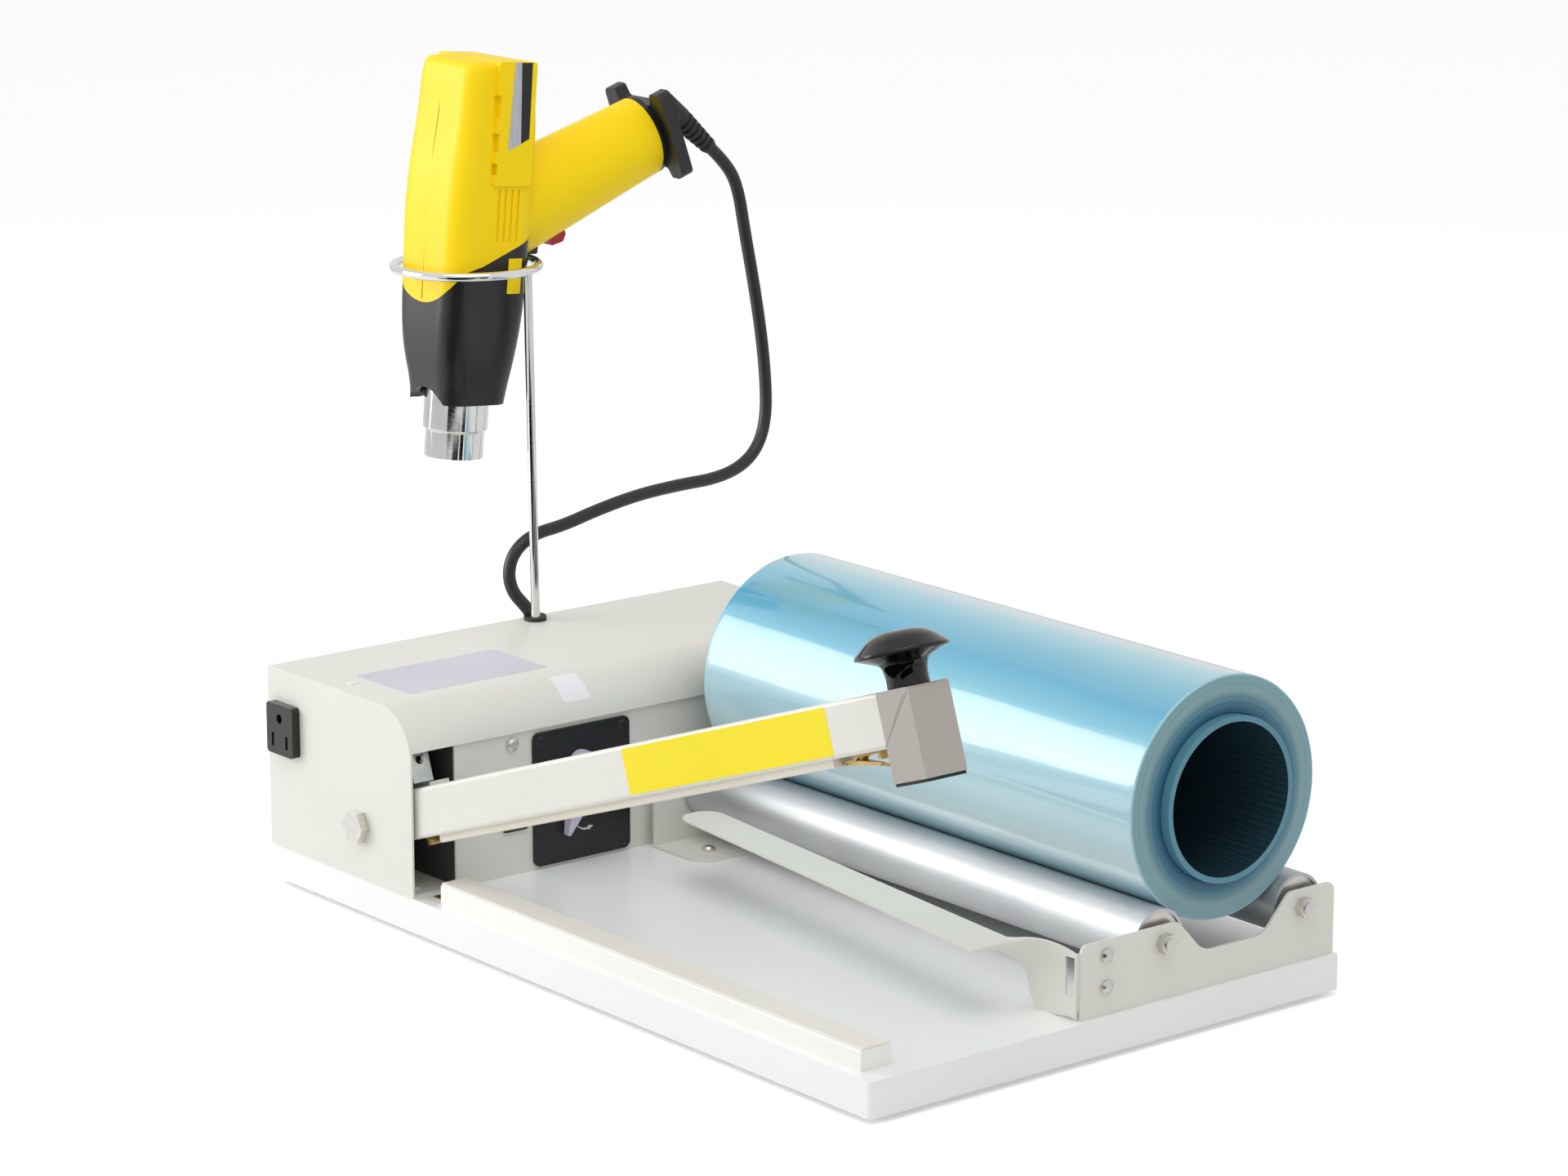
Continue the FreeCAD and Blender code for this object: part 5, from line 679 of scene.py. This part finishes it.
# %% [markdown]
# The film is wound from two layers of clear shrink film. A roll of it looks pale blue and
# as glossy as lacquer, with long soft dents where the web was slack. The dents bend the
# reflection of the soft box into a streak with uneven edges. A cylinder would give a
# dead straight one, so the roll is a ring section carried round its axis, pressed in by
# slow waves, and its ends show the rings that the turns make.

# %% Roll of film
ROLL_AXIS = (80.4, 110.506)
ROLL_RADIUS = 60.5
ROLL_BORE = 41.15
ROLL_ENDS = (-231.0, 94.0)
ROLL_LENGTH = ROLL_ENDS[1] - ROLL_ENDS[0]
ROLL_EDGE = 0.8
DENT = 0.25
RING_ROWS = 44
SKIN_ROWS = 96


def film_section():
    """Radius and Y round the ring section: out along the front end in small ripples, a
    quarter circle over its edge, back along the skin, and the same again at the back."""
    out = np.linspace(ROLL_BORE, ROLL_RADIUS - ROLL_EDGE, RING_ROWS)
    fade = np.sin(np.linspace(0, math.pi, RING_ROWS)) ** 0.5
    ripple = 0.09 * (1 + np.sin(2.1 * out)) * (1 + np.sin(0.7 * out)) * fade
    turn = np.linspace(0, math.pi / 2, 7)[1:-1]
    over = ROLL_RADIUS - ROLL_EDGE * (1 - np.sin(turn))
    down = ROLL_EDGE * (1 - np.cos(turn))
    skin = np.linspace(ROLL_ENDS[0] + ROLL_EDGE, ROLL_ENDS[1] - ROLL_EDGE, SKIN_ROWS)
    radius = np.concatenate([out, over, np.full(SKIN_ROWS, ROLL_RADIUS), over[::-1], out[::-1]])
    front = ROLL_ENDS[0] + np.concatenate([ripple, down])
    back = ROLL_ENDS[1] - np.concatenate([ripple, down])[::-1]
    return radius, np.concatenate([front, skin, back])


def film_points(columns=224):
    """The section turned about the roll's axis. A sum of slow waves of angle and length
    between 0 and 1 presses the skin in, and fades to nothing at the bore."""
    radius, y = film_section()
    angle = np.linspace(0, 2 * math.pi, columns, endpoint=False)
    r, a = np.broadcast_arrays(radius[:, None], angle[None, :])
    along = y[:, None] / ROLL_LENGTH
    waves = np.sin(7 * a + 2.2 * np.sin(5 * along)) + np.sin(13 * a - 4 * along + 1.3)
    waves = waves + 0.6 * np.sin(23 * a + 6 * np.sin(3 * along + 0.7))
    depth = DENT * (2.6 + waves) / 5.2 * ((r - ROLL_BORE) / (ROLL_RADIUS - ROLL_BORE)) ** 3
    x = ROLL_AXIS[0] + (r - depth) * np.cos(a)
    z = ROLL_AXIS[1] + (r - depth) * np.sin(a)
    return np.stack([x, np.broadcast_to(y[:, None], x.shape), z], axis=-1) * MM


def from_axis(finish):
    """How far a point is from the roll's axis, in metres."""
    x, y, z = finish.axes()
    across = (x - ROLL_AXIS[0] * MM) ** 2.0 + (z - ROLL_AXIS[1] * MM) ** 2.0
    return across ** 0.5


def round_axis(finish):
    """The angle about the roll's axis from 0 to 1, counted from the right over the top."""
    x, y, z = finish.axes()
    turn = finish.maths("ARCTAN2", ROLL_AXIS[1] * MM - z, ROLL_AXIS[0] * MM - x)
    return turn / (2 * math.pi) + 0.5


# Metres from the axis: where the colour of the ends starts and stops changing, and
# where the bore of the core, near black with painted shade, turns into its pale cut face.
RINGS_FADE = (0.0412, 0.0605)
BORE_FACE = (0.0380, 0.0384)
film_skin = Finish("film_skin", IOR=1.52, Coat_IOR=1.55, Coat_Roughness=0.02)
streaks = film_skin.noise(46.0, 3.0, (1.0, 0.05, 1.0))
clouds = film_skin.noise(11.0, 2.0, (1.0, 0.4, 1.0))
# The film's own pale blue, with painted highlight and shade in bands along the roll, set by the
# angle about its axis: pale where the top lamp and the soft box reflect, a dark teal band on the
# underside next to the roller. The bands turn with the roll.
painted_light_bands = film_skin.ramp(
    round_axis(film_skin) + 0.05 * (clouds - 0.5) + 0.03 * (streaks - 0.5),
    (0.0, paint(140, 194, 212)), (0.21, paint(192, 216, 220)), (0.27, paint(146, 196, 212)),
    (0.31, paint(118, 180, 202)), (0.353, paint(92, 168, 200)), (0.39, paint(120, 190, 214)),
    (0.45, paint(164, 210, 226)), (0.53, paint(184, 216, 224)), (0.59, paint(186, 214, 222)),
    (0.63, paint(140, 184, 200)), (0.67, paint(96, 140, 156)), (1.0, paint(140, 194, 212)),
)
milky = film_skin.ramp(streaks, (0.3, paint(176, 208, 206)), (0.7, paint(206, 222, 214)))
film_skin.set(
    Base_Color=film_skin.blend(film_skin.fade(clouds, 0.56, 0.74) * 0.8, painted_light_bands, milky),
    Roughness=0.1 + 0.14 * streaks,
    Coat_Weight=0.6 + 0.4 * film_skin.noise(30.0, 2.0, (1.0, 0.1, 1.0)),
)
film_skin.relief(film_skin.noise(60.0, 3.0, (1.0, 0.04, 1.0)), 0.00035)
film_ends = Finish("film_ends", IOR=1.5)
rings = film_ends.node("TexNoise", {"noise_dimensions": "1D"}, W=from_axis(film_ends), Scale=2600.0)
depth = film_ends.fade(from_axis(film_ends) + 0.004 * (rings - 0.5), *RINGS_FADE)
ring_colours = film_ends.ramp(
    depth, (0.0, paint(24, 84, 122)), (0.3, paint(74, 128, 148)), (0.6, paint(134, 166, 172)),
    (0.93, paint(126, 168, 178)), (1.0, paint(176, 212, 222)),
)
film_ends.set(Base_Color=ring_colours, Roughness=0.3 + 0.3 * rings)
film_ends.relief(rings, 0.00025)
film_winding = surface(
    "film_winding", film_points(), [film_skin, film_ends], "film_roll", (True, True)
)
middle = np.empty(len(film_winding.data.polygons) * 3)
film_winding.data.polygons.foreach_get("center", middle)
middle = middle.reshape(-1, 3)
on_end = np.abs(middle[:, 1] / MM - np.mean(ROLL_ENDS)) > ROLL_LENGTH / 2 - ROLL_EDGE
film_winding.data.polygons.foreach_set("material_index", on_end.astype(np.int32))
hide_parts("film_roll")
core_plastic = Finish("core_tube", IOR=1.5)
# Painted shade: inside the core's bore the colour is near black, while its cut face and outer skin
# are pale teal.
bore_shade_mask = core_plastic.fade(from_axis(core_plastic), *BORE_FACE)
grain = core_plastic.noise(500.0, 2.0)
shade = core_plastic.blend(bore_shade_mask, paint(6, 8, 18), paint(84, 138, 156))
core_plastic.set(
    Base_Color=core_plastic.blend(grain * 0.06, shade, paint(70, 90, 110)),
    Roughness=0.08 + 0.1 * core_plastic.noise(90.0, 2.0, (1.0, 0.1, 1.0)),
)
core_plastic.relief(core_plastic.noise(14.0, 1.0, (1.0, 0.2, 1.0)), 0.00002)
finish_nodes(core_plastic, "film_core")

# %% [markdown]
# The spring that lifts the arm is one steel wire: touching turns with a stem at each end
# that goes through a hole and curls behind it. The path is worked out from two rates.
# Along the stem the wire climbs and doesn't turn, in the coil it turns and hardly climbs,
# and both rates ease into each other, so the wire has no sharp corner. The CAD model
# holds a ribbed sleeve in its place.

# %% Return spring
SPRING_WIRE = 1.8
SPRING_MEAN = 3.1
SPRING_TURNS = 28
SPRING_CURL = 1.9
CURL_TURN = math.radians(150)
TURN_POINTS = 22
STEM_END, COIL_START = 8, 34
COIL_CLIMB, STEM_CLIMB = 0.09, 0.34
STEM_BEYOND = 1.4
SPRING_ANCHOR = (-135.35, 211.0, 93.0)
SPRING_HOLE = (-135.35, 131.04, 88.54)


def spring_path(start, end):
    """From curl to curl, in millimetres. The wire's angle and height are running sums of
    the two rates, and its distance from the axis eases from nothing to the coil's radius."""
    start, end = np.array(start), np.array(end)
    length = np.linalg.norm(end - start)
    axis = (end - start) / length
    side = np.cross(axis, (1.0, 0.0, 0.0))
    up = np.cross(axis, side)
    count = SPRING_TURNS * TURN_POINTS
    last = count - 1
    knees = (0, STEM_END, COIL_START, last - COIL_START, last - STEM_END, last)
    ease = np.interp(np.arange(count), knees, (0, 0, 1, 1, 0, 0))
    ease = ease * ease * (3 - 2 * ease)
    angle = np.cumsum(ease)
    angle = angle / angle[-1] * 2 * math.pi * SPRING_TURNS
    climb = np.cumsum(ease * COIL_CLIMB + (1 - ease) * STEM_CLIMB)
    climb = (climb - climb[0]) / np.ptp(climb) * length
    turned = np.cos(angle)[:, None] * side + np.sin(angle)[:, None] * up
    coil = start + climb[:, None] * axis + SPRING_MEAN * ease[:, None] * turned
    bend = np.linspace(0, CURL_TURN, 14)[:, None]
    sideways = SPRING_CURL * (1 - np.cos(bend)) * side
    beyond = (STEM_BEYOND + SPRING_CURL * np.sin(bend)) * axis
    return np.concatenate([(start - beyond + sideways)[::-1], coil, end + beyond + sideways])


def wire_mesh(name, path, radius, sides):
    """A round wire along a path in millimetres: a bevelled line, turned into a mesh."""
    data = bpy.data.curves.new(name, "CURVE")
    data.dimensions = "3D"
    data.bevel_depth = radius * MM
    data.bevel_resolution = sides // 2 - 1
    data.use_fill_caps = True
    line = data.splines.new("POLY")
    line.points.add(len(path) - 1)
    line.points.foreach_set("co", np.c_[path * MM, np.ones(len(path))].ravel())
    curve = bpy.data.objects.new(name + "_line", data)
    mesh = bpy.data.meshes.new_from_object(curve)
    bpy.data.objects.remove(curve)
    mesh.polygons.foreach_set("use_smooth", np.ones(len(mesh.polygons), bool))
    piece = bpy.data.objects.new(name, mesh)
    bpy.context.scene.collection.objects.link(piece)
    print(name, "faces", len(mesh.polygons))
    return piece


wire_path = spring_path(SPRING_ANCHOR, SPRING_HOLE)
spring = wire_mesh("return_spring_wire", wire_path, SPRING_WIRE / 2, 6)
spring.data.materials.append(zinc.material)
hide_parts("return_spring")
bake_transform(spring)

# %% [markdown]
# Stickers and plates are thin sheets. They are drawn in their own flat measures, along
# and across, and a place function lays them on the arm, the hood's bend or the gun. They
# stay blank.

# %% Stickers
ARM_FACE = -147.35
HOOD_TOP = 118.0
BEND_RADIUS = 26.0
BEND_CENTRE = (142.0, 92.0)
BEND_START = math.radians(17.0)
BEND_LEFT = -51.0
LABEL_THICKNESS = 0.12
ARM_STICKER = (160.0, 22.4)
HOOD_LABEL = (88.0, 48.5)
BEND_LABEL = (17.0, 18.0)
HOOD_TAB = (5.0, 3.0)
TAB_THICKNESS = 0.35


def on_hood(left, front):
    """A place function on the hood's flat top, from the label's left front corner."""
    return lambda a, c, o: np.stack([left + a, front + c, HOOD_TOP + o], axis=-1) * MM


vinyl = Finish("yellow_sticker", IOR=1.36)
worn(vinyl, paint(246, 226, 4), spread=0.05, grain=1100.0, rough=(0.34, 0.48), depth=0.00003)
label(
    "arm_sticker", lambda a, c, o: on_arm(ARM_FACE - o, 235 + a, c - ARM_STICKER[1] / 2),
    ARM_STICKER, 0.8, LABEL_THICKNESS, vinyl, "seal_arm",
)
paper = Finish("lavender_label", IOR=1.45)
worn(
    paper, paint(208, 205, 217), spread=0.1, grain=1800.0, rough=(0.4, 0.55), depth=0.00004,
    spot=paint(176, 172, 196),
)
label(
    "hood_label", on_hood(-128, 149), HOOD_LABEL, 2.0, LABEL_THICKNESS, paper, "machine",
)
white_paper = Finish("white_label", IOR=1.45)
worn(white_paper, paint(240, 240, 243), spread=0.04, grain=2200.0, rough=(0.35, 0.5), depth=0.00003)


def on_bend(along, across, out):
    """Round the hood's front bend: across is the length of an arc of its radius."""
    turn = BEND_START + across / BEND_RADIUS
    y = BEND_CENTRE[0] - (BEND_RADIUS + out) * np.sin(turn)
    z = BEND_CENTRE[1] + (BEND_RADIUS + out) * np.cos(turn)
    return np.stack([BEND_LEFT + along, y, z], axis=-1) * MM


label(
    "bend_label", on_bend, BEND_LABEL, 1.2, LABEL_THICKNESS, white_paper, "machine",
    15,
)
label(
    "hood_tab", on_hood(-140.5, 184), HOOD_TAB, 0.4, TAB_THICKNESS, white_paper, "machine",
)

# %% [markdown]
# The gun's badge is two narrow stripes, silver and black, that taper down the flat pad on
# the left shell. Four corners and straight lines between them give each one.

# %% Badge stripes
BADGE_PAD = -28.7
UNIT_SIZE = (1.0, 1.0)


def between(corners):
    """A place function on the pad: straight lines between four corners given as u and w,
    the first two at the top."""
    (u0, w0), (u1, w1), (u2, w2), (u3, w3) = corners

    def place(along, across, out):
        u = (u0 + (u1 - u0) * across) * (1 - along) + (u2 + (u3 - u2) * across) * along
        w = (w0 + (w1 - w0) * across) * (1 - along) + (w2 + (w3 - w2) * across) * along
        return on_gun(u, BADGE_PAD - out, w)

    return place


silver = Finish("silver_foil", Metallic=0.7)
brushed = silver.noise(900.0, 2.0, (1.0, 1.0, 0.05))
silver.set(
    Base_Color=silver.ramp(brushed, (0.3, paint(176, 178, 188)), (0.7, paint(206, 207, 214))),
    Roughness=0.3 + 0.2 * brushed,
)
silver.relief(brushed, 0.00001)
badge_black = Finish("black_foil", IOR=1.5)
worn(badge_black, paint(24, 23, 20), spread=0.2, grain=1500.0, rough=(0.2, 0.3), depth=0.00001)
SILVER = ((5.4, 111.6), (9.6, 111.6), (3.6, 64.7), (11.7, 68.4))
BLACK = ((9.7, 111.6), (16.7, 111.6), (11.9, 68.6), (17.1, 71.2))
label(
    "badge_silver", between(SILVER), UNIT_SIZE, 0.01, LABEL_THICKNESS, silver, "heat_gun"
)
label(
    "badge_black", between(BLACK), UNIT_SIZE, 0.01, LABEL_THICKNESS, badge_black, "heat_gun",
)

# %% [markdown]
# The two yellow shells meet on the gun's middle plane. On the real gun the joint shows as
# a fine dark line down the back of the barrel. A thin wire laid along the shell's profile
# and sunk to most of its thickness draws the same line.

# %% Shell seam
SEAM_PROFILE = (
    (-17.0, -26.9), (2.0, -26.7), (30.0, -27.0), (60.0, -24.8), (88.0, -21.8), (105.6, -19.5),
)
SEAM_RADIUS = 0.2
SEAM_SUNK = 0.1
seam_line = Finish("shell_seam", IOR=1.4)
worn(seam_line, paint(196, 146, 10), spread=0.15, grain=1500.0, rough=(0.5, 0.6), depth=0.00001)
heights, backs = np.array(SEAM_PROFILE).T
seam_w = np.linspace(heights[0], heights[-1], 60)
seam_u = np.interp(seam_w, heights, backs) + SEAM_SUNK
seam = wire_mesh("shell_seam_line", on_gun(seam_u, 0, seam_w) / MM, SEAM_RADIUS, 8)
seam.data.materials.append(seam_line.material)
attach(seam, "heat_gun")

# %% [markdown]
# The arm's end block is folded sheet, welded at the mitre. Grinding leaves two low beads
# that run down from its front corner. Each bead is a wire with a slow swell, sunk to half
# of its thickness in the face.

# %% Weld beads
BEADS = (((454.4, 10.4), (437.4, -6.8)), ((451.6, 9.6), (432.8, -11.6)))
BEAD_RADIUS = 0.28
BEAD_WAVE = 0.12
BEAD_RIPPLES = 37


def bead(name, start, end):
    """A line between two places on the block's left face with a fine wave across it."""
    run = np.linspace(0, 1, 40)
    s = start[0] + (end[0] - start[0]) * run + BEAD_WAVE * np.sin(run * BEAD_RIPPLES)
    h = start[1] + (end[1] - start[1]) * run
    piece = wire_mesh(name, on_arm(np.full_like(s, ARM_FACE), s, h) / MM, BEAD_RADIUS, 8)
    piece.data.materials.append(block_shaded_coat.material)
    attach(piece, "seal_arm")


for number, (start, end) in enumerate(BEADS, 1):
    bead(f"mitre_bead_{number}", start, end)

# %% [markdown]
# The control plate is printed in white. An arrow that swells from its tail, below the
# knob, shows which way a longer seal lies.

# %% Print on the control plate
PLATE_FACE = 116.62
ARROW_TAIL = (-49.3, 43.0)
ARROW_LENGTH = 13.7
ARROW_FALL = 4.3
ARROW_SAG = 2.6
HEAD_START = 0.76
PRINT_DEPTH = 0.1
print_white = Finish("white_print", IOR=1.45)
worn(print_white, paint(212, 212, 214), spread=0.05, grain=1800.0, rough=(0.35, 0.5), depth=0.00001)


def arrow_points():
    """A stroke along a flat arc, front and back in one loop. Its half width grows from the
    tail, jumps out at the head and runs to a point."""
    run = np.linspace(0, 1, 36)
    x = ARROW_TAIL[0] + ARROW_LENGTH * run
    z = ARROW_TAIL[1] - ARROW_FALL * run - ARROW_SAG * np.sin(math.pi * run) ** 1.5
    half = np.where(run < HEAD_START, 0.22 + 0.5 * run, (1.0 - run) * 5.6)
    front = np.stack([x, np.full_like(x, PLATE_FACE), z + half], axis=-1)
    low = np.stack([x, np.full_like(x, PLATE_FACE), z - half], axis=-1)
    back = np.array([0.0, PRINT_DEPTH, 0.0])
    return np.stack([front, low, low + back, front + back], axis=1) * MM


surface("plate_arrow", arrow_points(), [print_white], "machine", smooth=False)
